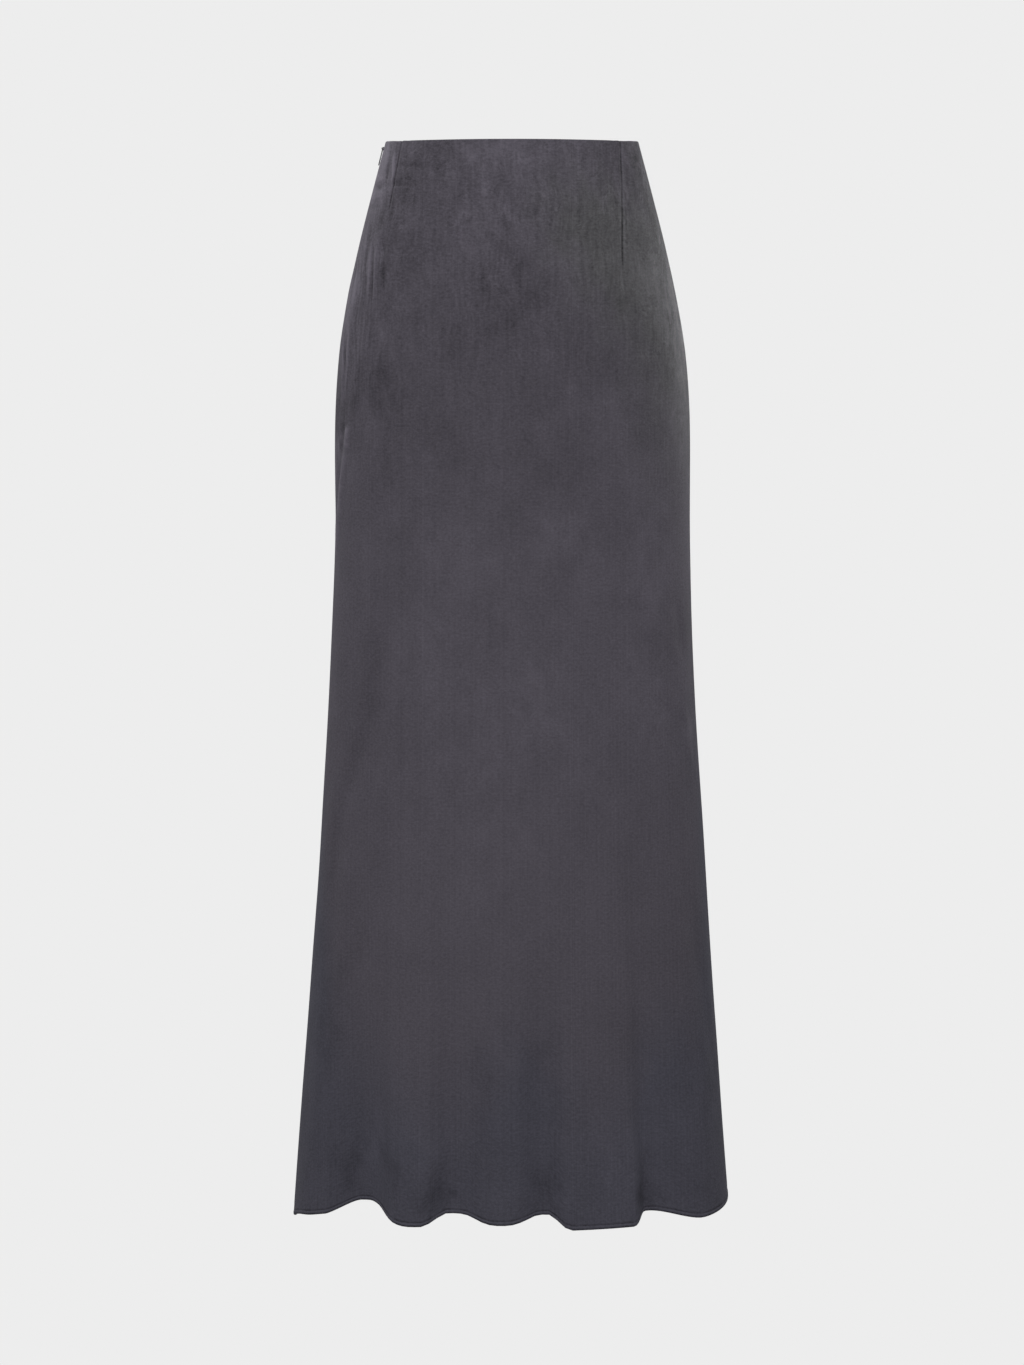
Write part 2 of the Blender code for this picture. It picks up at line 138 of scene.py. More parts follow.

# ---------------------------------------------------------------- creases, nap, and painted highlights and shade

# A crease runs through its points, each an angle and a distance below the waist.
# Its width is from the middle to where it has almost gone; its depth is negative for a trough.
# Shine is the highlight painted along it, or the shade painted along it where it is below 0.
Crease = namedtuple("Crease", "points width depth shine", defaults=(0.0,))
CREASES = (
    # where the cloth breaks over the wearer's right hip
    Crease(((-66.5, 0.260), (-66.9, 0.272), (-67.6, 0.286)), 0.0062, 0.0022, 0.46),
    Crease(((-70.8, 0.256), (-72.0, 0.270), (-74.0, 0.292)), 0.0075, -0.0015, -0.16),
    Crease(((-66.4, 0.278), (-72.6, 0.311), (-77.4, 0.347), (-82.5, 0.390)), 0.0072, 0.0022, 0.34),
    Crease(((-72.6, 0.288), (-79.0, 0.318), (-84.0, 0.356)), 0.0085, -0.0018, -0.08),
    Crease(((-75.8, 0.180), (-73.2, 0.213), (-72.2, 0.248)), 0.0048, 0.0009, 0.18),
    Crease(((-71.2, 0.176), (-69.6, 0.210), (-68.8, 0.242)), 0.0042, 0.0008, 0.20),
    Crease(((-73.6, 0.178), (-71.4, 0.212), (-70.5, 0.248)), 0.0036, -0.0007, -0.12),
    Crease(((-74.5, 0.120), (-71.0, 0.150), (-69.0, 0.186)), 0.0090, 0.0009, 0.18),
    Crease(((-80.5, 0.115), (-77.5, 0.160), (-77.0, 0.205)), 0.0140, 0.0010, 0.16),
    # fine pressed lines below the left dart
    Crease(((-60.2, 0.084), (-57.4, 0.118), (-54.6, 0.150)), 0.0026, 0.0006, 0.24),
    Crease(((-65.4, 0.084), (-61.4, 0.122), (-57.4, 0.160)), 0.0026, 0.0006, 0.24),
    Crease(((-62.6, 0.090), (-59.6, 0.118), (-56.4, 0.148)), 0.0024, -0.0005, -0.18),
    Crease(((-70.0, 0.070), (-67.5, 0.095), (-65.5, 0.120)), 0.0030, -0.0005, -0.12),
    Crease(((-54.8, 0.085), (-52.0, 0.118), (-49.6, 0.150)), 0.0030, -0.0004, -0.12),
    # the long soft fold down the left of the front
    Crease(((-44, 0.300), (-45, 0.42), (-46, 0.51), (-57, 0.574), (-65, 0.64), (-65, 0.83)), 0.0130, -0.0016),
    Crease(((-50, 0.34), (-51, 0.44), (-52, 0.52), (-61, 0.60)), 0.0110, 0.0010),
    Crease(((-41, 0.56), (-44, 0.62), (-46, 0.68)), 0.0090, 0.0012),
    Crease(((-57, 0.62), (-57, 0.70), (-58, 0.80)), 0.0120, 0.0010),
    # faint fold across the left of the front
    Crease(((-36, 0.752), (-20, 0.757), (4, 0.769)), 0.0070, -0.0008),
    # right of the front
    Crease(((50, 0.340), (49, 0.42), (50, 0.49)), 0.0100, 0.0014),
    Crease(((45, 0.330), (44, 0.41), (44, 0.50)), 0.0120, -0.0010),
    Crease(((64, 0.42), (67, 0.451), (69, 0.49)), 0.0090, -0.0012),
    Crease(((67, 0.52), (70, 0.550), (72, 0.585)), 0.0070, 0.0013),
    Crease(((53, 0.590), (59, 0.68), (66, 0.78), (74, 0.90)), 0.0150, -0.0014),
    Crease(((46, 0.80), (46, 0.877), (47, 0.94)), 0.0100, 0.0010),
    # soft drag between the hips
    Crease(((-8, 0.100), (0, 0.130), (7, 0.175)), 0.0140, -0.0009),
    Crease(((12, 0.30), (14, 0.36), (13, 0.43)), 0.0150, 0.0010),
    Crease(((-30, 0.40), (-29, 0.46), (-30, 0.53)), 0.0150, 0.0009),
    Crease(((4, 0.44), (8, 0.52), (9, 0.61)), 0.0170, 0.0009),
    Crease(((20, 0.50), (24, 0.59), (25, 0.69)), 0.0160, -0.0009),
    Crease(((-12, 0.52), (-13, 0.60), (-12, 0.70)), 0.0180, -0.0008),
    # between the flutes, above the hem
    Crease(((-8, 0.76), (-8.3, 0.84), (-8.5, 0.93)), 0.0110, -0.0014),
    Crease(((6, 0.80), (10, 0.86), (16, 0.915)), 0.0090, -0.0012),
    Crease(((33, 0.80), (33, 0.86), (35, 0.92)), 0.0100, -0.0012),
    Crease(((28, 0.76), (28.4, 0.815), (29, 0.87)), 0.0080, -0.0009),
    Crease(((-26, 0.76), (-26, 0.86), (-27, 0.95)), 0.0080, 0.0009),
    Crease(((2, 0.82), (1.8, 0.87), (1, 0.93)), 0.0090, 0.0009),
    Crease(((23, 0.83), (23.7, 0.883), (24, 0.94)), 0.0080, 0.0009),
    # beside the darts
    Crease(((-63.4, 0.008), (-61.2, 0.020), (-58.8, 0.032), (-57.8, 0.044)), 0.0026, 0.0012, 0.55),
    Crease(((-74.5, 0.004), (-70.5, 0.014), (-67.0, 0.030)), 0.0060, 0.0008, 0.30),
    Crease(((-67.0, 0.018), (-65.0, 0.030), (-63.5, 0.040)), 0.0026, -0.0008, -0.20),
    Crease(((-70.0, 0.0385), (-60.0, 0.0400), (-48.0, 0.0395), (-38.0, 0.0405)), 0.0024, -0.0006, -0.16),
    Crease(((-86.0, 0.0400), (-74.0, 0.0430), (-62.0, 0.0410)), 0.0022, -0.0009, -0.30),
    Crease(((-84.0, 0.0330), (-74.0, 0.0350), (-66.0, 0.0340)), 0.0040, 0.0006, 0.22),
    Crease(((-84.0, 0.0500), (-74.0, 0.0515), (-64.0, 0.0500)), 0.0040, 0.0006, 0.18),
    Crease(((-60.0, 0.0225), (-50.0, 0.0235), (-38.0, 0.0240)), 0.0022, -0.0005, -0.15),
    Crease(((-82.0, 0.0620), (-72.0, 0.0600), (-62.0, 0.0630)), 0.0024, -0.0006, -0.20),
    Crease(((-56.0, 0.0345), (-49.0, 0.0350), (-44.0, 0.0350)), 0.0020, -0.0004, -0.14),
    Crease(((43.5, 0.112), (41.5, 0.128), (41.0, 0.148)), 0.0022, 0.0008, 0.22),
    # the back: over the seat and down from it
    Crease(((118, 0.262), (110, 0.272), (100, 0.274)), 0.0045, -0.0012),
    Crease(((121, 0.27), (114, 0.30), (108, 0.36)), 0.0060, 0.0014),
    Crease(((241, 0.255), (249, 0.268), (259, 0.270)), 0.0045, -0.0013),
    Crease(((160, 0.30), (180, 0.318), (199, 0.305)), 0.0240, -0.0009),
    Crease(((152, 0.33), (150, 0.44), (146, 0.56)), 0.0150, -0.0014),
    Crease(((208, 0.34), (211, 0.43), (216, 0.53)), 0.0140, -0.0013),
    Crease(((178, 0.36), (176, 0.47), (177, 0.60)), 0.0170, 0.0010),
    Crease(((133, 0.42), (129, 0.54), (127, 0.66)), 0.0140, 0.0011),
    Crease(((232, 0.40), (236, 0.52), (240, 0.64)), 0.0150, -0.0012),
    Crease(((192, 0.56), (194, 0.66), (192, 0.78)), 0.0150, -0.0010),
    Crease(((164, 0.62), (166, 0.74), (165, 0.86)), 0.0120, -0.0012),
    Crease(((220, 0.74), (221, 0.83), (220, 0.93)), 0.0110, -0.0012),
    Crease(((138, 0.78), (138, 0.86), (139, 0.94)), 0.0100, -0.0011),
    Crease(((147, 0.118), (149, 0.133), (149, 0.150)), 0.0045, 0.0010),
    Crease(((213, 0.118), (211, 0.132), (210, 0.148)), 0.0045, 0.0010),
    Crease(((258, 0.046), (266, 0.048)), 0.0032, -0.0007),
    Crease(((255, 0.073), (265, 0.071)), 0.0036, -0.0007),
)

# Soft patches painted lighter (above 0) or darker: painted highlights on the hips and painted shade in the
# troughs near the hem, mixed with nap that lies unevenly.
Patch = namedtuple("Patch", "angle down wide tall amount")
NAP_AND_PAINTED_LIGHT = (
    # near the waist
    Patch(-42, 0.018, 0.026, 0.016, -0.07),
    Patch(-36, 0.030, 0.030, 0.020, -0.04),
    Patch(-10, 0.082, 0.015, 0.040, 0.20),
    Patch(-15, 0.010, 0.026, 0.011, 0.22),
    Patch(-24, 0.068, 0.012, 0.016, -0.10),
    Patch(-10, 0.100, 0.020, 0.020, 0.09),
    Patch(12, 0.020, 0.030, 0.014, 0.05),
    Patch(-76, 0.012, 0.010, 0.014, 0.22),
    Patch(-84, 0.032, 0.026, 0.055, 0.22),
    Patch(-70, 0.060, 0.012, 0.012, 0.12),
    Patch(75, 0.050, 0.016, 0.020, -0.06),
    Patch(72, 0.004, 0.034, 0.024, -0.22),
    Patch(-80, 0.130, 0.012, 0.020, -0.10),
    Patch(-62, 0.040, 0.012, 0.012, 0.10),
    Patch(-48, 0.098, 0.018, 0.046, -0.17),
    Patch(-78, 0.036, 0.014, 0.016, 0.20),
    Patch(-40, 0.130, 0.018, 0.050, -0.08),
    Patch(36, 0.245, 0.030, 0.060, 0.07),
    Patch(49, 0.046, 0.026, 0.034, -0.08),
    Patch(50, 0.125, 0.012, 0.020, 0.14),
    Patch(14, 0.128, 0.030, 0.050, 0.07),
    Patch(-41, 0.004, 0.010, 0.012, -0.10),
    Patch(-15, 0.050, 0.012, 0.020, -0.10),
    # over the hips
    Patch(0, 0.143, 0.030, 0.022, -0.08),
    Patch(12, 0.125, 0.040, 0.030, -0.05),
    Patch(62, 0.115, 0.016, 0.022, 0.10),
    Patch(80, 0.135, 0.018, 0.016, 0.14),
    Patch(76, 0.175, 0.014, 0.040, 0.12),
    Patch(92, 0.196, 0.050, 0.080, 0.16),
    Patch(-84, 0.235, 0.020, 0.035, -0.12),
    Patch(46, 0.350, 0.036, 0.040, 0.08),
    Patch(24, 0.378, 0.020, 0.030, 0.08),
    Patch(44, 0.415, 0.022, 0.026, 0.05),
    Patch(64, 0.265, 0.020, 0.030, 0.10),
    Patch(-22, 0.370, 0.040, 0.030, 0.06),
    Patch(20, 0.155, 0.020, 0.030, 0.06),
    Patch(52, 0.286, 0.022, 0.036, -0.06),
    Patch(4, 0.176, 0.028, 0.022, -0.10),
    Patch(74, 0.190, 0.040, 0.050, 0.12),
    Patch(66, 0.020, 0.020, 0.030, -0.12),
    Patch(72, 0.085, 0.018, 0.034, -0.16),
    Patch(-76, 0.165, 0.012, 0.050, 0.16),
    Patch(-44, 0.236, 0.024, 0.030, -0.14),
    Patch(-62, 0.232, 0.026, 0.034, -0.13),
    Patch(-76, 0.276, 0.016, 0.006, 0.24),
    Patch(-33, 0.293, 0.014, 0.014, -0.06),
    Patch(18, 0.210, 0.020, 0.030, -0.05),
    Patch(-56, 0.245, 0.010, 0.016, 0.08),
    # down the front
    Patch(13, 0.358, 0.024, 0.030, 0.08),
    Patch(-29, 0.457, 0.022, 0.030, 0.08),
    Patch(8, 0.519, 0.026, 0.030, 0.07),
    Patch(67, 0.451, 0.014, 0.012, -0.03),
    Patch(58, 0.135, 0.016, 0.022, 0.10),
    Patch(70, 0.550, 0.008, 0.012, 0.18),
    Patch(0, 0.540, 0.110, 0.220, 0.10),
    Patch(46, 0.430, 0.034, 0.080, 0.08),
    Patch(-48, 0.490, 0.012, 0.050, -0.08),
    Patch(-70, 0.610, 0.024, 0.070, -0.07),
    Patch(52, 0.520, 0.018, 0.040, 0.10),
    Patch(91, 0.290, 0.022, 0.030, -0.14),
    Patch(92, 0.500, 0.045, 0.160, -0.06),
    Patch(-45, 0.740, 0.012, 0.030, 0.08),
    Patch(-23, 0.353, 0.030, 0.030, 0.05),
    Patch(-45, 0.620, 0.014, 0.100, -0.03),
    Patch(-44, 0.556, 0.014, 0.040, 0.05),
    Patch(-85, 0.330, 0.012, 0.050, 0.16),
    # towards the hem
    Patch(-61, 0.806, 0.014, 0.040, -0.08),
    Patch(-74, 0.850, 0.012, 0.040, 0.06),
    Patch(-52, 0.945, 0.012, 0.024, -0.14),
    Patch(-21, 0.960, 0.012, 0.014, -0.14),
    Patch(-18, 0.940, 0.012, 0.020, -0.05),
    Patch(-8, 0.855, 0.012, 0.040, -0.08),
    Patch(-41, 0.928, 0.010, 0.030, 0.12),
    Patch(7, 0.835, 0.016, 0.020, -0.10),
    Patch(8, 0.955, 0.012, 0.020, -0.15),
    Patch(13.6, 0.956, 0.004, 0.010, 0.14),
    Patch(31.8, 0.962, 0.004, 0.010, 0.04),
    Patch(36, 0.952, 0.010, 0.020, -0.20),
    Patch(37, 0.965, 0.010, 0.010, -0.14),
    Patch(-17, 0.966, 0.006, 0.008, -0.14),
    Patch(-33, 0.940, 0.008, 0.022, -0.10),
    Patch(80, 0.760, 0.070, 0.200, -0.06),
    Patch(76, 0.900, 0.060, 0.090, -0.09),
    Patch(37, 0.890, 0.015, 0.040, 0.06),
    Patch(27, 0.935, 0.010, 0.015, 0.08),
    Patch(-22, 0.925, 0.012, 0.020, 0.08),
    Patch(-84, 0.840, 0.055, 0.180, -0.11),
    Patch(66, 0.930, 0.014, 0.016, 0.06),
    # the back
    Patch(168, 0.060, 0.030, 0.026, 0.14),
    Patch(196, 0.105, 0.024, 0.034, -0.10),
    Patch(126, 0.250, 0.026, 0.034, 0.16),
    Patch(240, 0.236, 0.026, 0.034, -0.13),
    Patch(216, 0.300, 0.034, 0.030, 0.11),
    Patch(180, 0.352, 0.050, 0.040, -0.12),
    Patch(154, 0.470, 0.034, 0.110, 0.13),
    Patch(206, 0.560, 0.044, 0.130, 0.12),
    Patch(230, 0.450, 0.030, 0.090, -0.08),
    Patch(136, 0.620, 0.030, 0.110, -0.06),
    Patch(174, 0.740, 0.040, 0.090, -0.10),
    Patch(194, 0.870, 0.016, 0.050, 0.12),
    Patch(146, 0.900, 0.016, 0.050, -0.09),
    Patch(172, 0.935, 0.012, 0.026, -0.14),
    Patch(236, 0.910, 0.016, 0.050, -0.10),
    Patch(222, 0.800, 0.014, 0.060, 0.09),
)

# Where the nap is rubbed, by hand and by sitting.
RUBBED = (
    Patch(66, 0.165, 0.045, 0.070, 0.55),
    Patch(80, 0.120, 0.030, 0.090, 0.45),
    Patch(80, 0.240, 0.026, 0.070, 0.40),
    Patch(-80, 0.060, 0.022, 0.070, 0.40),
    Patch(-78, 0.190, 0.020, 0.090, 0.25),
    Patch(10, 0.050, 0.060, 0.040, 0.20),
    Patch(-12, 0.080, 0.020, 0.030, 0.25),
    Patch(45, 0.060, 0.040, 0.040, 0.20),
    Patch(180, 0.060, 0.090, 0.050, 0.20),
    Patch(180, 0.240, 0.110, 0.080, 0.35),
    Patch(120, 0.160, 0.050, 0.080, 0.30),
    Patch(245, 0.170, 0.040, 0.080, 0.35),
)

# Where the nap lies in fine lines down the skirt.
COMBED = (
    Patch(-66, 0.150, 0.030, 0.100, 0.6),
    Patch(-78, 0.220, 0.020, 0.120, 0.5),
    Patch(82, 0.150, 0.030, 0.100, 0.5),
    Patch(32, 0.100, 0.030, 0.060, 0.3),
    Patch(-10, 0.110, 0.040, 0.050, 0.2),
    Patch(262, 0.200, 0.040, 0.120, 0.5),
    Patch(100, 0.180, 0.035, 0.100, 0.5),
    Patch(180, 0.160, 0.060, 0.070, 0.2),
)

# Patches where shade with a navy cast is painted higher up than elsewhere.
NAVY_SHADE_PATCHES = (
    Patch(3, 0.870, 0.036, 0.060, 0.7),
    Patch(46, 0.870, 0.030, 0.060, 0.6),
    Patch(-30, 0.925, 0.020, 0.040, 0.3),
    Patch(88, 0.620, 0.040, 0.090, 0.4),
    Patch(-76, 0.780, 0.030, 0.080, 0.4),
    Patch(178, 0.880, 0.050, 0.070, 0.5),
    Patch(222, 0.860, 0.035, 0.060, 0.5),
)

# Where the charcoal has faded to a greener grey.
FADED = (
    Patch(48, 0.120, 0.060, 0.060, 0.8),
    Patch(70, 0.190, 0.060, 0.110, 0.9),
    Patch(38, 0.085, 0.030, 0.045, 0.6),
    Patch(21, 0.075, 0.028, 0.040, 0.5),
    Patch(85, 0.100, 0.030, 0.120, 0.6),
    Patch(112, 0.180, 0.045, 0.110, 0.7),
)

# ---------------------------------------------------------------- form of the skirt


def form_at(down):
    """Half width, front depth and back depth at a distance below the waist, on smooth curves."""
    table = np.array(FORM)
    places, sizes = table[:, 0], table[:, 1:]
    last = len(table) - 1
    rows = np.arange(last + 1)
    before = np.maximum(rows - 1, 0)
    after = np.minimum(rows + 1, last)
    slopes = (sizes[after] - sizes[before]) / (places[after] - places[before])[:, None]
    index = np.clip(np.searchsorted(places, down, side="right") - 1, 0, last - 1)
    span = places[index + 1] - places[index]
    t = (down - places[index]) / span
    return [
        (2 * t**3 - 3 * t**2 + 1) * size[index]
        + (t**3 - 2 * t**2 + t) * slope[index] * span
        + (3 * t**2 - 2 * t**3) * size[index + 1]
        + (t**3 - t**2) * slope[index + 1] * span
        for size, slope in zip(sizes.T, slopes.T)
    ]


def soft_step(distance, run):
    """0 to 1 over a run centred on 0, with soft ends."""
    t = np.clip(distance / run + 0.5, 0, 1)
    return t * t * (3 - 2 * t)


def shortest_turn(degrees):
    """The same turn, between half a turn back and half a turn on."""
    return (degrees + 180) % 360 - 180


def flute_stand(angle, down):
    """How far the cloth stands out of the plain form."""
    stand = np.zeros(np.broadcast(angle, down).shape)
    for flute in FLUTES:
        growth = np.maximum(down - (LENGTH - flute.rise), 0) / flute.rise
        middle = (flute.left + flute.right) / 2
        around = shortest_turn(angle - middle) + middle
        width = (soft_step(around - flute.left, flute.left_run)
                 * soft_step(flute.right - around, flute.right_run))
        stand = stand + (flute.depth * width - FLUTE_REST / len(FLUTES)) * growth**FLUTE_GROWTH
    return stand


def waist_dip(forward):
    """How far the waist edge dips, from a soft peak at each side seam to the centre front and back."""
    rounding = WAIST_PEAK_ROUNDING
    share = (np.hypot(forward, rounding) - rounding) / (math.hypot(1, rounding) - rounding)
    deepest = np.where(forward > 0, WAIST_DIP_FRONT, WAIST_DIP_BACK)
    return deepest * share * (1 + WAIST_DIP_BOW * (1 - share))


def skin(angle, fraction):
    """Points of the cloth's outer face; fraction is 0 at the waist and 1 at the hem."""
    turn = np.radians(angle)
    forward = np.cos(turn)
    dip = waist_dip(forward)
    stand = flute_stand(angle, fraction * LENGTH)
    corner = np.exp(-(shortest_turn(angle - ZIP_SIDE) / HEM_CORNER_TURN)**2)
    hem_drop = LENGTH + HEM_FOLLOW * stand - HEM_TILT * np.sin(turn)**3
    hem_drop = hem_drop + HEM_CORNER * corner * fraction**HEM_CORNER_FADE
    height = -dip * (1 - fraction) - hem_drop * fraction
    half_width, front, back = form_at(-height)
    depth = np.where(forward > 0, front, back)
    out_x = np.sin(turn) / half_width
    out_y = -forward / depth
    size = np.hypot(out_x, out_y)
    return np.stack([
        half_width * np.sin(turn) + stand * out_x / size,
        -depth * forward + stand * out_y / size,
        height,
    ], axis=-1)


def unit(vectors):
    """The same directions, one long."""
    return vectors / np.linalg.norm(vectors, axis=-1, keepdims=True)


def cloth_frame(angle, fraction):
    """The skin's points, its outward and upward directions, and the metres in each degree round it."""
    near_angle, near_fraction = 0.2, 0.001
    around = skin(angle + near_angle, fraction) - skin(angle - near_angle, fraction)
    upward = skin(angle, fraction - near_fraction) - skin(angle, fraction + near_fraction)
    outward = unit(np.cross(around, upward))
    per_degree = np.linalg.norm(around, axis=-1) / (2 * near_angle)
    return skin(angle, fraction), outward, unit(upward), per_degree


def metres_per_degree(angle, down):
    """The metres in each degree round the plain form, without its flutes."""
    half_width, front, back = form_at(down)
    turn = np.radians(angle)
    depth = np.where(np.cos(turn) > 0, front, back)
    return np.radians(1) * np.hypot(half_width * np.cos(turn), depth * np.sin(turn))


# ---------------------------------------------------------------- relief of the cloth

# A ridge, or a trough where its height is below 0, that runs beside a line: how far from the line,
# how wide, how high, and how much higher where stitches draw the cloth in most.
# The same table gives the highlight painted along a line, or painted shade where it is below 0, in place of a
# height.
Ridge = namedtuple("Ridge", "at width height drawn", defaults=(0.0,))

DART_RIDGES = (Ridge(0.0, 0.0012, -0.0009), Ridge(0.0040, 0.0030, 0.00045), Ridge(-0.0045, 0.0040, -0.0003))
DART_SHADOW = (Ridge(0.0, 0.0009, -0.6, -0.7),)  # darker towards the tip
DART_GLINT = (Ridge(-0.0020, 0.0010, 0.3),)
DART_TIP = (Ridge(0.008, 0.007, 0.0010), Ridge(0.0, 0.006, -0.0009))
DART_TIP_SQUASH = 0.6     # the dimple is longer than it is wide
DART_FADE_FROM = 0.92     # shares of the shown length: where its line fades, and over how much
DART_FADE_RUN = 0.2

SEAM_RIDGES = (Ridge(0.0, 0.0045, -0.0005, -0.00025), Ridge(0.011, 0.006, 0.0003))
SEAM_GATHERS = (420, 3, 61)   # how the stitches draw in: pitch, bend and the bend's own pitch,
HEM_GATHERS = (7.3, 2, 0.83)  # in radians a metre down the seams, and in radians a degree round the hem
SIDE_SEAMS = (-90, 90, 270)   # the zip's seam has an angle for each panel

HEM_RIDGES = (
    Ridge(HEM_STITCH, 0.0005, -0.00030, -0.00012),
    Ridge(HEM_STITCH * 0.45, 0.0010, 0.00010, 0.00010),
    Ridge(HEM_STITCH * 2, 0.0025, -0.00015),
)
# Shade painted along the stitches and the edge, and a highlight painted on the roll.
HEM_SHINE = (
    Ridge(HEM_STITCH, 0.0005, -0.34, -0.16),
    Ridge(0.0, 0.0006, -0.30),
    Ridge(HEM_STITCH * 0.5, 0.0005, 0.16),
)

# A wave over the cloth: its size, how many times round the skirt and how many radians a metre down
# it runs, where it starts, and how much a second wave bends it.
Wave = namedtuple("Wave", "size round down start bend bend_round bend_down", defaults=(0, 0, 0, 0))
HANGING_WAVES = (
    Wave(1.0, 3, 9, 0, 1.7, 1, 5),
    Wave(0.7, 7, -13, 0, 1.3, -2, 11),
    Wave(0.45, 14, 6, 1.1, 2.1, 3, 17),
)
HANGING_DEPTH = 0.00045
HANGING_FROM = 0.16       # below the waist, where the skirt no longer fits closely
HANGING_RUN = 0.3
PATCH_ASIDE = (Wave(0.005, 17, 95), Wave(0.003, -31, 230, 1.0))
PATCH_LOWER = (Wave(0.005, 29, -70, 2.0), Wave(0.003, 53, 120))

CREASE_FADE = 0.28        # share of a crease's length over which each end fades
CREASE_FALL = 2           # how steeply it falls away to its width

# How strongly the nap shows at distances below the waist, brushed patches apart.
BRUSHED_DOWN = ((0, 0.42), (0.16, 0.30), (0.30, 0.12), (0.45, 0.05), (1.0, 0.03))
COMBED_DOWN = ((0, 0.30), (0.20, 0.25), (0.34, 0.06), (1.0, 0.03))
MOTTLED_DOWN = ((0, 0.80), (0.12, 0.72), (0.20, 0.50), (0.35, 0.38), (0.50, 0.35), (0.62, 0.22), (0.78, 0.18),
                (0.90, 0.28), (0.98, 0.32))
MOST_BRUSHED = 1.5
MOST_COMBED = 1.2
# Painted shade with a navy cast: where it starts, and over how much it grows.
NAVY_SHADE_FROM = 0.885         # below the waist at the centre front and back
NAVY_SHADE_RUN = 0.18
NAVY_SHADE_SIDE_RISE = 0.10     # how much sooner it starts towards the sides, and close to the seams
NAVY_SHADE_SEAM_RISE = 0.20


def ridges(off, table, drawn=0.0):
    """The height of a table of ridges at a distance off their line; drawn is from 0 to 1."""
    return sum((ridge.height + ridge.drawn * drawn) * np.exp(-((off - ridge.at) / ridge.width)**2)
               for ridge in table)


def waves(turn, down, table):
    """The height of a table of waves."""
    return sum(
        wave.size * np.sin(wave.round * turn + wave.down * down + wave.start
                           + wave.bend * np.sin(wave.bend_round * turn + wave.bend_down * down))
        for wave in table
    )


def drawn_in(place, pitch, bend, bend_pitch, start=0.0):
    """How much stitches draw the cloth in along their line, unevenly, from 0 to 1."""
    return 0.5 + 0.5 * np.sin(place * pitch + bend * np.sin(place * bend_pitch) + start)


def by_distance(down, table):
    """A value that changes with the distance below the waist."""
    return np.interp(down, *zip(*table))


def to_line(angle, down, per_degree, points):
    """Distance from a line through points, and how far along it from 0 to 1."""
    nearest = np.full(angle.shape, np.inf)
    along = np.zeros(angle.shape)
    steps = len(points) - 1
    for index in range(steps):
        (angle_a, down_a), (angle_b, down_b) = points[index:index + 2]
        across_a = shortest_turn(angle_a - angle) * per_degree
        below_a = down_a - down
        run = (angle_b - angle_a) * per_degree
        fall = down_b - down_a
        t = np.clip(-(across_a * run + below_a * fall) / (run**2 + fall**2), 0, 1)
        distance = np.hypot(across_a + t * run, below_a + t * fall)
        closer = distance < nearest
        nearest = np.where(closer, distance, nearest)
        along = np.where(closer, (index + t) / steps, along)
    return nearest, along


def dart_angle(dart, down):
    """The dart's slightly bowed line, carried straight down below its tip."""
    share = np.clip(down / dart.length, 0, 1)
    return dart.waist_angle + (dart.tip_angle - dart.waist_angle) * share * (1 + dart.bow * (1 - share))


def dart_relief(angle, down, per_degree):
    """The sewn line of each dart, the side that it's pressed to, and the dimple at its tip;
    and the shade painted along the line, with a highlight painted beside it."""
    height = np.zeros(angle.shape)
    shine = np.zeros(angle.shape)
    for dart in DARTS:
        off = (angle - dart_angle(dart, down)) * per_degree
        pressed = off * dart.toward
        fade = 1 - soft_step(down - dart.shows * DART_FADE_FROM, dart.shows * DART_FADE_RUN)
        height += ridges(pressed, DART_RIDGES) * fade
        line = ridges(off, DART_SHADOW, down / dart.shows) + ridges(pressed, DART_GLINT)
        shine += dart.line * line * fade
        from_tip = np.hypot(off, (down - dart.length) * DART_TIP_SQUASH)
        height += ridges(from_tip, DART_TIP)
    return height, shine


def seam_relief(angle, down, per_degree):
    """A shallow valley at each side seam, gathered a little by its stitches."""
    height = np.zeros(angle.shape)
    for seam in SIDE_SEAMS:
        off = np.abs(angle - seam) * per_degree
        height += ridges(off, SEAM_RIDGES, drawn_in(down, *SEAM_GATHERS, seam))
    return height


def hem_relief(angle, down):
    """The hem's line of stitches, and the soft roll between it and the edge; and the shade painted along the
    stitches and the edge, with a highlight painted on the roll.
    """
    up = LENGTH - down
    drawn = drawn_in(angle, *HEM_GATHERS)
    return ridges(up, HEM_RIDGES, drawn), ridges(up, HEM_SHINE, drawn)


def hanging_relief(angle, down):
    """The slight unevenness of hanging cloth: none near the waist, where it fits, and more below."""
    return (HANGING_DEPTH * waves(np.radians(angle), down, HANGING_WAVES)
            * soft_step(down - HANGING_FROM, HANGING_RUN))


def relief(angle, down):
    """How far the made-up cloth stands off the plain form, for all its creases and sewn lines,
    and the highlights and shade painted along them."""
    per_degree = metres_per_degree(angle, down)
    height, shine = dart_relief(angle, down, per_degree)
    hem_height, hem_shine = hem_relief(angle, down)
    height += seam_relief(angle, down, per_degree) + hem_height + hanging_relief(angle, down)
    shine += hem_shine
    for crease in CREASES:
        distance, along = to_line(angle, down, per_degree, crease.points)
        from_end = np.minimum(along, 1 - along)
        share = np.exp(-(distance / crease.width)**2 * CREASE_FALL)
        share *= soft_step(from_end - CREASE_FADE / 2, CREASE_FADE)
        height += crease.depth * share
        shine += crease.shine * share
    return height, shine


def patches(angle, down, table):
    """How strongly a table of soft patches, wandering at their edges, colours each point."""
    per_degree = metres_per_degree(angle, down)
    turn = np.radians(angle)
    aside = waves(turn, down, PATCH_ASIDE)
    lower = waves(turn, down, PATCH_LOWER)
    lie = np.zeros(angle.shape)
    for patch in table:
        across = (shortest_turn(angle - patch.angle) * per_degree + aside) / patch.wide
        below = (down - patch.down + lower) / patch.tall
        lie += patch.amount * np.exp(-(across**2 + below**2))
    return lie


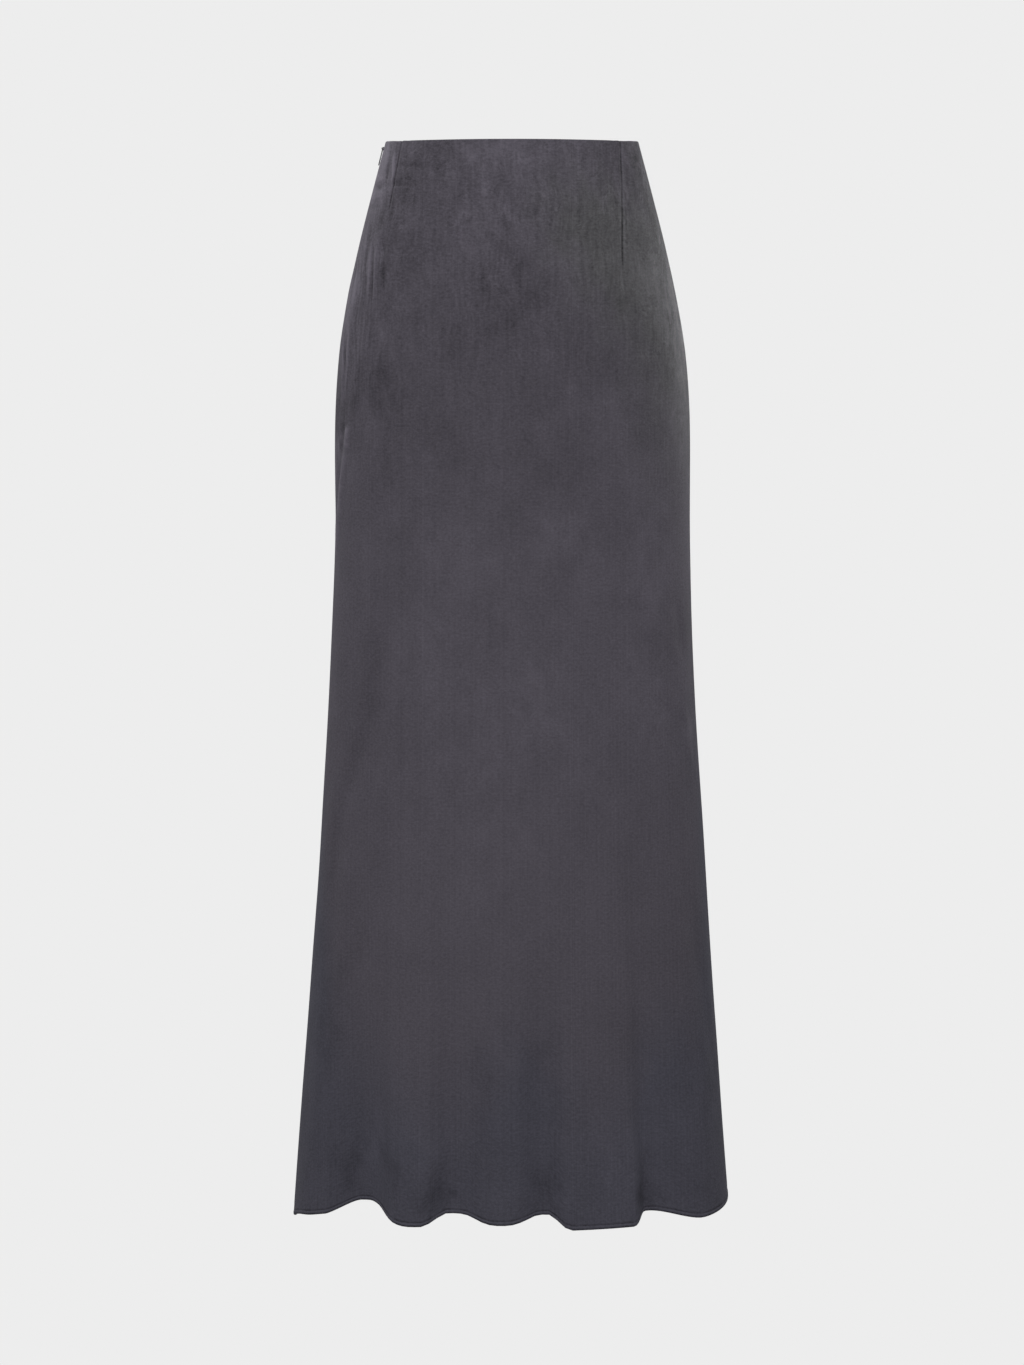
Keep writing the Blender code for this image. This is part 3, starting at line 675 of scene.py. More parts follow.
def painted_navy_shade(angle, down):
    """Where shade with a navy cast is painted on the charcoal: low down, and sooner at the sides."""
    side = np.abs(np.sin(np.radians(angle)))
    rise = NAVY_SHADE_SIDE_RISE * side**3 + NAVY_SHADE_SEAM_RISE * side**16
    return np.clip(soft_step(down - NAVY_SHADE_FROM + rise, NAVY_SHADE_RUN) + patches(angle, down, NAVY_SHADE_PATCHES), 0, 1)


def nap_and_painted_light_attributes(angle, down, shine):
    """How the nap lies at each point of the cloth, with the highlights and shade painted on it, for the satin
    to read.
    """
    brushed = by_distance(down, BRUSHED_DOWN) + patches(angle, down, RUBBED)
    combed = by_distance(down, COMBED_DOWN) + patches(angle, down, COMBED)
    return (
        # The nap attribute holds painted highlights and painted shade, from the patches and along the lines,
        # with some nap that lies unevenly.
        ("nap", patches(angle, down, NAP_AND_PAINTED_LIGHT) + shine),
        ("brushed", np.clip(brushed, 0, MOST_BRUSHED)),
        ("combed", np.clip(combed, 0, MOST_COMBED)),
        ("mottled", by_distance(down, MOTTLED_DOWN)),
        ("navy_shade", painted_navy_shade(angle, down)),
        ("faded", np.clip(patches(angle, down, FADED), 0, 1)),
    )


# ---------------------------------------------------------------- meshes


def spread(table):
    """Steps from a table's first place to its last, as wide as it asks for at each place."""
    places, spacings = zip(*table)
    steps = [places[0]]
    while steps[-1] < places[-1]:
        steps.append(steps[-1] + float(np.interp(steps[-1], places, spacings)))
    steps = np.array(steps)
    return places[0] + (steps - places[0]) * (places[-1] - places[0]) / (steps[-1] - places[0])


def grid_mesh(name, points, uv, attributes=()):
    """A mesh from a grid of points, with its rows down and its columns to the right of its face."""
    rows, columns = points.shape[:2]
    index = np.arange(rows * columns).reshape(rows, columns)
    corners = (index[:-1, :-1], index[1:, :-1], index[1:, 1:], index[:-1, 1:])
    faces = np.stack(corners, axis=-1).reshape(-1, 4)
    mesh = bpy.data.meshes.new(name)
    mesh.from_pydata(points.reshape(-1, 3).tolist(), [], faces.tolist())
    layer = mesh.uv_layers.new(name="cloth")
    layer.data.foreach_set("uv", uv.reshape(-1, 2)[faces.ravel()].ravel().astype(np.float32))
    for label, values in attributes:
        attribute = mesh.attributes.new(label, "FLOAT", "POINT")
        attribute.data.foreach_set("value", values.ravel().astype(np.float32))
    mesh.shade_smooth()
    return mesh


def add_object(name, data):
    """An object in the scene."""
    item = bpy.data.objects.new(name, data)
    bpy.context.scene.collection.objects.link(item)
    return item


def add_piece(name, mesh, material):
    """A piece of one material."""
    mesh.materials.clear()
    mesh.materials.append(material)
    return add_object(name, mesh)


def add_shape(name, shape, material):
    """A piece from a modelled shape, which it uses up."""
    mesh = bpy.data.meshes.new(name)
    shape.to_mesh(mesh)
    shape.free()
    return add_piece(name, mesh, material)


def finished(piece):
    """The piece with its modifiers applied, as a plain mesh."""
    graph = bpy.context.evaluated_depsgraph_get()
    graph.update()
    evaluated = piece.evaluated_get(graph)
    mesh = bpy.data.meshes.new_from_object(evaluated, preserve_all_data_layers=True, depsgraph=graph)
    mesh.name = piece.name
    piece.modifiers.clear()
    piece.data = mesh
    return piece


def sheet_piece(name, points, uv, material, wall, attributes=()):
    """A sheet of cloth on a grid of points, with its thickness on the side away from its face."""
    piece = add_piece(name, grid_mesh(name, points, uv, attributes), material)
    solid = piece.modifiers.new("thickness", "SOLIDIFY")
    solid.thickness = wall
    solid.offset = -1
    solid.use_even_offset = False
    return finished(piece)


# ---------------------------------------------------------------- panels and darts

# How far apart a panel's rows are at distances below the waist.
ROW_SPACING = (
    (0.0, 0.0008), (0.012, 0.0018), (0.030, 0.0024), (0.060, 0.0032), (0.120, 0.0040), (0.160, 0.0050),
    (0.245, 0.0045), (0.262, 0.0020), (0.282, 0.0022), (0.310, 0.0045), (0.40, 0.0075), (0.86, 0.0080),
    (0.950, 0.0045), (0.966, 0.0011), (0.978, 0.0007),
)
AT_WAIST, ON_FACE, AT_HEM, IN_ROLL = -1, 0, 1, 2  # the fold that a row belongs to
WAIST_BENDS = 6           # steps round each fold
HEM_BENDS = 7
ROLL_BENDS = 5
SEAM_BENDS = 6
WAIST_TURN_ROWS = 7       # and over the cloth that it turns in
HEM_TURN_ROWS = 6
SEAM_TURN_COLUMNS = 4
WAIST_MARGIN = 0.0012     # from each fold to the next row or column of the cloth turned in
HEM_MARGIN = 0.0010
SEAM_MARGIN = 0.0008
HEM_ROLL = 0.0004         # radius of the hem's second turn, and how far it goes down again
HEM_TUCK = 0.0018
CROWDING = 0.125          # how much closer columns are near sewn lines
INSIDE_SEAM = 0.2         # degrees from a seam to where its metres in a degree are taken
BESIDE_ZIP = 0.5          # and from the zip's
WAIST_SETTLE = 0.006

# Folds are larger where they go round a seam allowance or a dart.
SEAM_BULK_REACH = 0.003
SEAM_BULK_RUN = 0.004
DART_BULK_REACH = 0.012
DART_BULK_RUN = 0.006
DART_BULK = 0.6           # against a seam's
WAIST_BULK = 0.0007
HEM_BULK = 0.0005

# The side seam parts a little at the mouth of the zip.
ZIP_MOUTH = 0.0165
ZIP_MOUTH_RUN = 0.011
ZIP_MOUTH_GAP = 0.00068

# A dart's fold, inside the cloth
FOLD_DEPTH = 0.00075
FOLD_BEND = 0.00032
FOLD_BENDS = 5
FOLD_COLUMNS = 5
FOLD_ROWS = 20
FOLD_ROOT = 0.0006        # its width at the dart's tip
FOLD_TOP = 0.0016         # where it starts, below the waist
FOLD_TIP = 0.009          # its last stretch, which has rows of its own
FOLD_TIP_GAP = 0.003
FOLD_TIP_ROWS = 6


def bends(steps):
    """Angles round a fold, from 0 to half a turn."""
    return np.linspace(0, math.pi, steps + 1)


def panel_rows():
    """Rows of the cloth from the raw edge inside the waist, over it, down and round the hem.
    Each has its distance below the waist, how far round a fold it has turned, and which fold."""
    half_turn = math.pi
    hem_top = LENGTH - HEM_TURN
    rows = [(down, half_turn, AT_WAIST) for down in np.linspace(WAIST_TURN, WAIST_MARGIN, WAIST_TURN_ROWS)]
    rows += [(0.0, turn, AT_WAIST) for turn in bends(WAIST_BENDS)[:0:-1]]
    rows += [(down, 0.0, ON_FACE) for down in spread(ROW_SPACING)]
    rows += [(LENGTH, turn, AT_HEM) for turn in bends(HEM_BENDS)[1:]]
    rows += [(LENGTH - up, half_turn, AT_HEM) for up in np.linspace(HEM_MARGIN, HEM_TURN, HEM_TURN_ROWS)]
    rows += [(hem_top, half_turn + curl, IN_ROLL) for curl in bends(ROLL_BENDS)[1:]]
    rows.append((hem_top + HEM_TUCK, 2 * half_turn, IN_ROLL))
    return np.array(rows).T


def turned_edge():
    """Columns of a seam's allowance and fold, from its raw edge to the seam line.
    Each has how far inside the seam line it is, and how far behind the face."""
    columns = [(back, 2 * SEAM_FOLD) for back in np.linspace(SEAM_TURN, SEAM_MARGIN, SEAM_TURN_COLUMNS)]
    for bend in bends(SEAM_BENDS)[:0:-1]:
        columns.append((-SEAM_FOLD * math.sin(bend), SEAM_FOLD * (1 - math.cos(bend))))
    return columns


def column_shares(count):
    """Shares from 0 to 1, closer together towards the sewn lines at both ends."""
    t = np.linspace(0, 1, count + 1)
    return t - CROWDING * np.sin(2 * math.pi * t)


def sewn_gap(seam, down):
    """Half the opening of a side seam: none, but for a little at the top of the zip."""
    if shortest_turn(seam - ZIP_SIDE) != 0:
        return np.zeros(down.shape)
    return ZIP_MOUTH_GAP * (1 - soft_step(down - ZIP_MOUTH, ZIP_MOUTH_RUN))


def panel_columns(first, last, darts, counts, down):
    """Columns of a panel, allowances included, between the seam lines and the darts' lines.
    Gives their angles at each row, and how far behind the face each lies."""
    reach_first = cloth_frame(first + INSIDE_SEAM, down / LENGTH)[3]
    reach_last = cloth_frame(last - INSIDE_SEAM, down / LENGTH)[3]
    lines = [dart_angle(dart, down) for dart in darts]
    lines.insert(0, first + (sewn_gap(first, down) + SEAM_FOLD) / reach_first)
    lines.append(last - (sewn_gap(last, down) + SEAM_FOLD) / reach_last)
    face = [lines[0]]
    for start, end, count in zip(lines, lines[1:], counts):
        face += [start + (end - start) * share for share in column_shares(count)[1:]]
    edge = turned_edge()
    angles = [lines[0] + inside / reach_first for inside, _ in edge]
    angles += face
    angles += [lines[-1] - inside / reach_last for inside, _ in reversed(edge)]
    behind = [inset for _, inset in edge]
    return np.array(angles).T, np.array(behind + [0.0] * len(face) + behind[::-1])


def fold_radius(angle, down, fold, seams, darts):
    """Radii of the folds at the waist and the hem."""
    per_degree = metres_per_degree(angle, down)
    near_seam = sum(soft_step(SEAM_TURN + SEAM_BULK_REACH - np.abs(angle - seam) * per_degree, SEAM_BULK_RUN)
                    for seam in seams)
    near_dart = sum(soft_step(DART_BULK_REACH - np.abs(angle - dart_angle(dart, down)) * per_degree,
                              DART_BULK_RUN) for dart in darts)
    waist_radius = WAIST_FOLD + WAIST_BULK * np.maximum(near_seam, near_dart * DART_BULK)
    hem_radius = HEM_FOLD + HEM_BULK * near_seam
    return np.where(fold < 0, waist_radius, hem_radius)


def cloth_uv(points, angle, middle, per_degree):
    """Metres along the cloth: across from the panel's middle, and down from its raw edge."""
    steps = np.diff(angle, axis=1, prepend=angle[:, :1])
    around = np.cumsum(steps * per_degree, axis=1)
    around -= np.array([np.interp(middle, line[order], place[order]) for line, place, order
                        in zip(angle, around, np.argsort(angle, axis=1))])[:, None]
    falls = np.linalg.norm(np.diff(points, axis=0, prepend=points[:1]), axis=-1)
    fallen = np.cumsum(falls.mean(axis=1))
    return np.stack([around, np.broadcast_to(-fallen[:, None], around.shape)], axis=-1)


def panel_cloth(name, first, last, darts, counts, material):
    """A whole panel: its face, its seam allowances, its turned waist and its rolled hem, in one cloth."""
    down, turn, fold = panel_rows()
    angle, inset = panel_columns(first, last, darts, counts, down)
    inset = np.broadcast_to(inset, angle.shape)
    down, turn, fold = (np.broadcast_to(row[:, None], angle.shape) for row in (down, turn, fold))
    radius = fold_radius(angle, down, fold, (first, last), darts)

    base, outward, upward, _ = cloth_frame(angle, down / LENGTH)
    first_turn = np.minimum(turn, math.pi)
    curl = np.maximum(turn - math.pi, 0)
    inward = radius * (1 - np.cos(first_turn)) + inset * np.cos(first_turn)
    inward -= HEM_ROLL * (1 - np.cos(curl))
    bulge = np.where(fold < 0, 1, -1) * (radius - inset) * np.sin(first_turn)
    bulge += HEM_ROLL * np.sin(curl)
    bulge += np.where(fold < 0, -radius, 0)
    # the outer face meets the waist fold a radius below the edge
    bulge -= np.where(fold == ON_FACE, radius * np.exp(-(down / WAIST_SETTLE)**2), 0)
    height, shine = relief(angle, down)
    points = base + outward * (height - inward)[..., None] + upward * bulge[..., None]

    uv = cloth_uv(points, angle, (first + last) / 2, metres_per_degree(angle, down))
    return sheet_piece(name, points, uv, material, CLOTH, nap_and_painted_light_attributes(angle, down, shine))


def inside_points(angle, down, depth):
    """Points inside the cloth by a depth, square to it."""
    base, outward, _, _ = cloth_frame(angle, down / LENGTH)
    return base + outward * (relief(angle, down)[0] - depth)[..., None]


def dart_fold(dart, material):
    """The cloth taken in by a dart: two layers, folded and pressed to one side."""
    reach = np.linspace(0, 1, FOLD_COLUMNS)
    layers = [(share, 0.0, FOLD_DEPTH) for share in reach]
    for bend in bends(FOLD_BENDS)[1:-1]:
        layers.append((1.0, FOLD_BEND * math.sin(bend), FOLD_DEPTH + FOLD_BEND * (1 - math.cos(bend))))
    layers += [(share, 0.0, FOLD_DEPTH + 2 * FOLD_BEND) for share in reach[::-1]]
    share, bulge, depth = np.array(layers).T
    tip_top = dart.length - FOLD_TIP
    down = np.concatenate([np.linspace(FOLD_TOP, tip_top - FOLD_TIP_GAP, FOLD_ROWS),
                           np.linspace(tip_top, dart.length, FOLD_TIP_ROWS)])
    width = dart.intake * (1 - down / dart.length) + FOLD_ROOT
    line = dart_angle(dart, down)
    across = (share * width[:, None] + bulge) / metres_per_degree(line, down)[:, None]
    angle = line[:, None] + dart.toward * across
    points = inside_points(angle, np.broadcast_to(down[:, None], angle.shape), depth)
    if dart.toward > 0:
        points = points[:, ::-1]
    run = np.linspace(0, 2 * dart.intake, len(layers))
    uv = np.stack(np.broadcast_arrays(run[None, :], -down[:, None]), axis=-1)
    return sheet_piece(dart.name + "_fold", points, uv, material, CLOTH)


# ---------------------------------------------------------------- zip tapes

TAPE_THICK = 0.0004
TAPE_DEPTH = 0.0019       # how deep inside the cloth the tapes lie
TAPE_BOW = 0.0003         # and how far they wave in and out
TAPE_BOW_PITCH = 90       # radians a metre
TAPE_COLUMNS = 7
TAPE_ROWS = 60
TAPE_UNDER_COIL = 0.0010
TAPE_FLAT_EDGE = 0.0015   # where the tape starts to turn in, and its turned edge
TAPE_TURNED_EDGE = ((0.0008, 0.0021), (0.0004, 0.0026), (0.0002, 0.0032))


def zip_tape(name, side, material):
    """A woven tape sewn inside one allowance; its inner edge is turned to carry the coil."""
    section = [(across, TAPE_DEPTH) for across in np.linspace(TAPE_WIDTH, TAPE_FLAT_EDGE, TAPE_COLUMNS)]
    across, depth = np.array(section + list(TAPE_TURNED_EDGE)).T
    down = np.linspace(TAPE_TOP, ZIP_LENGTH, TAPE_ROWS)
    per_degree = metres_per_degree(np.full(down.shape, ZIP_SIDE + side), down)
    angle = ZIP_SIDE + side * (COIL_WIDTH / 2 - TAPE_UNDER_COIL + across) / per_degree[:, None]
    if side < 0:
        angle = angle + 360
    bow = TAPE_BOW * np.sin(down * TAPE_BOW_PITCH + side)[:, None] * np.linspace(1, 0, len(across))
    points = inside_points(angle, np.broadcast_to(down[:, None], angle.shape), depth + bow)
    if side > 0:
        points = points[:, ::-1]
    uv = np.stack(np.broadcast_arrays(side * across[None, ::-side], -down[:, None]), axis=-1)
    return sheet_piece(name, points, uv, material, TAPE_THICK)


# ---------------------------------------------------------------- node trees


def add_node(tree, kind, sockets=(), **settings):
    """A node with its settings; each of its sockets takes a value or another node's output."""
    node = tree.nodes.new(kind)
    for label, value in settings.items():
        setattr(node, label, value)
    for label, value in dict(sockets).items():
        if isinstance(value, bpy.types.NodeSocket):
            tree.links.new(value, node.inputs[label])
        else:
            node.inputs[label].default_value = value
    return node


def add_sockets(tree, inputs, outputs):
    """A node group's named inputs, with their defaults, and its named outputs."""
    for label, kind, value in inputs:
        socket = tree.interface.new_socket(label, in_out="INPUT", socket_type="NodeSocket" + kind)
        if value is not None:
            socket.default_value = value
    for label, kind in outputs:
        tree.interface.new_socket(label, in_out="OUTPUT", socket_type="NodeSocket" + kind)
    return tree.nodes.new("NodeGroupInput").outputs


# ---------------------------------------------------------------- stitches and zip coil

HEM_POINTS = 500          # points of the lines that the rows follow
OVERLOCK_POINTS = 400
COIL_POINTS = 300

HEM_STITCHES = dict(Pitch=0.0026, Length=0.0021, Width=0.00036, Height=0.00030, Unevenness=0.05)
HEM_STITCH_PROUD = 0.00002
HEM_STITCH_BEHIND = 0.00004
HEM_STITCH_START = 0.4    # degrees from a side seam

OVERLOCK = dict(Pitch=0.0030, Width=0.00032, Height=0.00026, Unevenness=0.08)
OVERLOCK_PROUD = 0.00006
OVERLOCK_START = 0.012
# The thread over the raw edge and the slanted legs beside it: how far in from the edge they lie.
OverlockRow = namedtuple("OverlockRow", "label inside length slant seed")
OVERLOCK_ROWS = (
    OverlockRow("edge", 0.0002, 0.0029, 0.0, 5),
    OverlockRow("legs", 0.0018, 0.0036, 1.1, 6),
)

COIL = dict(Pitch=0.0012, Length=0.0016, Width=0.0021, Height=0.0015)
COIL_DEPTH = 0.0046
COIL_APART = 0.00062      # from the zip's middle to that of each coil
COIL_BELOW_SLIDER = 0.0009


def rail(name, points, facing):
    """A line of points with the direction that each faces, for a row of stitches to follow."""
    mesh = bpy.data.meshes.new(name)
    mesh.from_pydata(points.tolist(), [(i, i + 1) for i in range(len(points) - 1)], [])
    direction = mesh.attributes.new("facing", "FLOAT_VECTOR", "POINT")
    direction.data.foreach_set("vector", facing.astype(np.float32).ravel())
    return add_object(name, mesh)


def stitch_shape(tree):
    """A thread's stitch: a small spindle along X."""
    ball = add_node(tree, "GeometryNodeMeshUVSphere", {"Segments": 6, "Rings": 5, "Radius": 0.5})
    along = add_node(tree, "GeometryNodeTransform",
                     {"Geometry": ball.outputs["Mesh"], "Rotation": (0, math.radians(90), 0)})
    return along.outputs["Geometry"]


def coil_shape(tree):
    """One turn of the coil: a ring of wire round X."""
    ring = add_node(tree, "GeometryNodeCurvePrimitiveCircle", {"Resolution": 8, "Radius": 0.38})
    upright = add_node(tree, "GeometryNodeTransform",
                       {"Geometry": ring.outputs["Curve"], "Rotation": (0, math.radians(90), 0)})
    wire = add_node(tree, "GeometryNodeCurvePrimitiveCircle", {"Resolution": 5, "Radius": 0.16})
    bent = add_node(tree, "GeometryNodeCurveToMesh",
                    {"Curve": upright.outputs["Geometry"], "Profile Curve": wire.outputs["Curve"]})
    return bent.outputs["Mesh"]


def row_tree(name, shape):
    """Nodes that set a small shape at even steps along a rail, then make one mesh of them."""
    tree = bpy.data.node_groups.new(name, "GeometryNodeTree")
    inputs = add_sockets(tree, (
        ("Rail", "Geometry", None),
        ("Pitch", "Float", 0.003),
        ("Length", "Float", 0.002),
        ("Width", "Float", 0.0004),
        ("Height", "Float", 0.0003),
        ("Slant", "Float", 0.0),
        ("Unevenness", "Float", 0.0),
        ("Seed", "Int", 1),
        ("Finish", "Material", None),
    ), (("Row", "Geometry"),))

    line = add_node(tree, "GeometryNodeMeshToCurve", {"Mesh": inputs["Rail"]})
    steps = add_node(tree, "GeometryNodeResampleCurve",
                     {"Curve": line.outputs["Curve"], "Length": inputs["Pitch"]}, mode="LENGTH")

    facing = add_node(tree, "GeometryNodeInputNamedAttribute", {"Name": "facing"}, data_type="FLOAT_VECTOR")
    tangent = add_node(tree, "GeometryNodeInputTangent")
    axes = add_node(tree, "FunctionNodeAxesToRotation",
                    {"Primary Axis": tangent.outputs["Tangent"],
                     "Secondary Axis": facing.outputs["Attribute"]},
                    primary_axis="X", secondary_axis="Z")
    wobble = add_node(tree, "FunctionNodeRandomValue", {"Min": -1.0, "Seed": inputs["Seed"]},
                      data_type="FLOAT")
    uneven = maths(tree, "MULTIPLY_ADD", wobble.outputs["Value"], inputs["Unevenness"], inputs["Slant"])
    tilt = add_node(tree, "ShaderNodeCombineXYZ", {"Z": uneven})
    tilted = add_node(tree, "FunctionNodeRotateRotation",
                      {"Rotation": axes.outputs["Rotation"], "Rotate By": tilt.outputs["Vector"]},
                      rotation_space="LOCAL")

    size = add_node(tree, "ShaderNodeCombineXYZ",
                    {"X": inputs["Length"], "Y": inputs["Width"], "Z": inputs["Height"]})
    place = add_node(tree, "GeometryNodeInstanceOnPoints",
                     {"Points": steps.outputs["Curve"], "Instance": shape(tree),
                      "Rotation": tilted.outputs["Rotation"], "Scale": size.outputs["Vector"]})
    realize = add_node(tree, "GeometryNodeRealizeInstances", {"Geometry": place.outputs["Instances"]})
    smooth = add_node(tree, "GeometryNodeSetShadeSmooth", {"Geometry": realize.outputs["Geometry"]})
    finish = add_node(tree, "GeometryNodeSetMaterial",
                      {"Geometry": smooth.outputs["Geometry"], "Material": inputs["Finish"]})
    add_node(tree, "NodeGroupOutput", {"Row": finish.outputs["Geometry"]})
    return tree


def set_row(name, points, facing, tree, material, **sizes):
    """A finished row along a rail, as a plain mesh."""
    piece = rail(name, points, facing)
    modifier = piece.modifiers.new("row", "NODES")
    modifier.node_group = tree
    values = dict(sizes, Finish=material)
    for item in tree.interface.items_tree:
        if item.item_type == "SOCKET" and item.in_out == "INPUT" and item.name in values:
            modifier[item.identifier] = values[item.name]
    finished(piece)
    piece.data.materials.clear()
    piece.data.materials.append(material)
    return piece


def joined(name, pieces):
    """Several rows as one mesh."""
    whole = bmesh.new()
    for piece in pieces:
        whole.from_mesh(piece.data)
    material = pieces[0].data.materials[0]
    for piece in pieces:
        bpy.data.objects.remove(piece, do_unlink=True)
    row = add_shape(name, whole, material)
    row.data.shade_smooth()
    return row


def hem_stitches(name, first, last, tree, material):
    """Lock stitches round the hem, on the face and inside."""
    angle = np.linspace(first + HEM_STITCH_START, last - HEM_STITCH_START, HEM_POINTS)
    down = np.full(angle.shape, LENGTH - HEM_STITCH)
    base, outward, _, _ = cloth_frame(angle, down / LENGTH)
    lift = relief(angle, down)[0]
    face = base + outward * (lift + HEM_STITCH_PROUD)[:, None]
    behind = base + outward * (lift - 2 * HEM_FOLD - HEM_STITCH_BEHIND)[:, None]
    return joined(name, [
        set_row(name + "_face", face, outward, tree, material, Seed=3, **HEM_STITCHES),
        set_row(name + "_inside", behind, -outward, tree, material, Seed=4, **HEM_STITCHES),
    ])


def overlock(name, first, last, tree, material):
    """Overlock thread over the raw edge of both seam allowances of a panel."""
    rows = []
    down = np.linspace(OVERLOCK_START, LENGTH - OVERLOCK_START, OVERLOCK_POINTS)
    depth = np.full(down.shape, 2 * SEAM_FOLD + OVERLOCK_PROUD)
    for seam, side in ((first, 1), (last, -1)):
        per_degree = metres_per_degree(np.full(down.shape, seam + side), down)
        for row in OVERLOCK_ROWS:
            angle = seam + side * (SEAM_TURN - row.inside + SEAM_FOLD) / per_degree
            points = inside_points(angle, down, depth)
            outward = cloth_frame(angle, down / LENGTH)[1]
            rows.append(set_row(f"{name}_{row.label}", points, -outward, tree, material,
                                Length=row.length, Slant=row.slant, Seed=row.seed, **OVERLOCK))
    return joined(name, rows)


def zip_coil(tree, material):
    """Two nylon coils that mesh along the middle of the zip."""
    rows = []
    top = SLIDER_DROP + SLIDER_LENGTH / 2 + COIL_BELOW_SLIDER
    for side, start in ((-1, top), (1, top + COIL["Pitch"] / 2)):
        down = np.linspace(start, ZIP_LENGTH, COIL_POINTS)
        per_degree = metres_per_degree(np.full(down.shape, ZIP_SIDE + BESIDE_ZIP), down)
        angle = ZIP_SIDE + side * COIL_APART / per_degree
        points = inside_points(angle, down, np.full(down.shape, COIL_DEPTH))
        outward = cloth_frame(angle, down / LENGTH)[1]
        rows.append(set_row(f"coil_{side}", points, -outward, tree, material, Seed=7, **COIL))
    return joined("nylon_coil", rows)


# ---------------------------------------------------------------- slider and pull

# Outlines down the right side, as distances across and up from the hinge.
SLIDER_OUTLINE = ((0.0024, 0.0050), (0.0038, 0.0036), (0.0038, 0.0008), (0.0030, -0.0030), (0.0022, -0.0050))
PULL_OUTLINE = ((0.0017, 0.0009), (0.0020, -0.0005), (0.0020, -0.0026), (0.0015, -0.0056), (0.0019, -0.0092),
                (0.0024, -0.0122), (0.0020, -0.0149), (0.0007, -0.0159))
DISH_OUTLINE = ((0.0008, -0.0098), (0.0013, -0.0124), (0.0008, -0.0140))
DISH_THICK = 0.0006
DISH_OUT = 0.0005         # from the pull's middle out to that of the form that hollows its face
PULL_SLOT_DROP = 0.0028   # from the hinge down to the foot of the pull's slot
SLOT_LENGTH = 0.004       # long enough to pass right through the pull, and the hole through the lug
HOLE_LENGTH = 0.006
OUTLINE_STEPS = 4
ROUNDING_SEGMENTS = 3
ROUNDING_PROFILE = 0.6
SLIDER_ROUNDING = 0.0006
NECK_ROUNDING = 0.0001
PULL_ROUNDING = 0.00025
DISH_ROUNDING = 0.0001
RIM_ANGLE = 50            # degrees: edges as sharp as this are rounded
SMOOTH_ANGLE = 35         # and edges less sharp than this are shaded smooth
SAME_PLACE = 1e-7


def zip_axis():
    """Where the pull hinges: -X points out of the cloth and +Z runs up along the seam."""
    on_cloth = Vector(skin(np.array(ZIP_SIDE), np.array(SLIDER_DROP / LENGTH)))
    above = Vector(skin(np.array(ZIP_SIDE), np.array(0.0)))
    upward = (above - on_cloth).normalized()
    slope = math.atan2(upward.x, upward.z)
    outward = Vector((-math.cos(slope), 0, math.sin(slope)))
    return Matrix.Translation(on_cloth + outward * PULL_STANDOFF) @ Matrix.Rotation(slope, 4, "Y")


def both_sides(points):
    """An outline from its right side."""
    return list(points) + [(-across, up) for across, up in reversed(points)]


def smooth_outline(points):
    """A closed outline through points, rounded between them."""
    count = len(points)
    outline = []
    for index in range(count):
        before, start, end, after = (Vector(points[(index + k) % count]) for k in (-1, 0, 1, 2))
        for step in range(OUTLINE_STEPS):
            t = step / OUTLINE_STEPS
            outline.append(tuple(0.5 * (
                2 * start + (end - before) * t
                + (2 * before - 5 * start + 4 * end - after) * t**2
                + (3 * start - before - 3 * end + after) * t**3
            )))
    return outline


def round_off(shape, edges, rounding):
    """Rounds some of a shape's edges."""
    bmesh.ops.bevel(shape, geom=edges, offset=rounding, segments=ROUNDING_SEGMENTS,
                    profile=ROUNDING_PROFILE, affect="EDGES")


def rounded_prism(name, outline, thick, middle, rounding, material):
    """A flat form with an outline in Y and Z and rounded rims, its middle at a distance along X."""
    shape = bmesh.new()
    face = shape.faces.new([shape.verts.new((-thick / 2, across, up)) for across, up in outline])
    made = bmesh.ops.extrude_face_region(shape, geom=[face])
    moved = [item for item in made["geom"] if isinstance(item, bmesh.types.BMVert)]
    bmesh.ops.translate(shape, verts=moved, vec=(thick, 0, 0))
    bmesh.ops.recalc_face_normals(shape, faces=shape.faces)
    rims = [edge for edge in shape.edges if edge.calc_face_angle(0) > math.radians(RIM_ANGLE)
            and abs(edge.verts[0].co.x - edge.verts[1].co.x) < SAME_PLACE]
    round_off(shape, rims, rounding)
    bmesh.ops.translate(shape, verts=shape.verts, vec=(middle, 0, 0))
    return add_shape(name, shape, material)


def block(name, size, middle, material, rounding=0.0):
    """A box, with rounded edges where it has a rounding."""
    shape = bmesh.new()
    bmesh.ops.create_cube(shape, size=1, matrix=Matrix.Translation(middle) @ Matrix.Diagonal((*size, 1)))
    if rounding:
        round_off(shape, shape.edges[:], rounding)
    return add_shape(name, shape, material)


def rod(name, radius, length, material, sides=24):
    """A rod along Y through the hinge."""
    shape = bmesh.new()
    bmesh.ops.create_cone(shape, cap_ends=True, segments=sides, radius1=radius, radius2=radius, depth=length,
                          matrix=Matrix.Rotation(math.radians(90), 4, "X"))
    return add_shape(name, shape, material)


def boolean(piece, other, operation):
    """Joins another shape to a piece, or cuts it out; the other shape is used up."""
    cut = piece.modifiers.new("cut", "BOOLEAN")
    cut.object = other
    cut.operation = operation
    cut.solver = "EXACT"
    finished(piece)
    bpy.data.objects.remove(other, do_unlink=True)


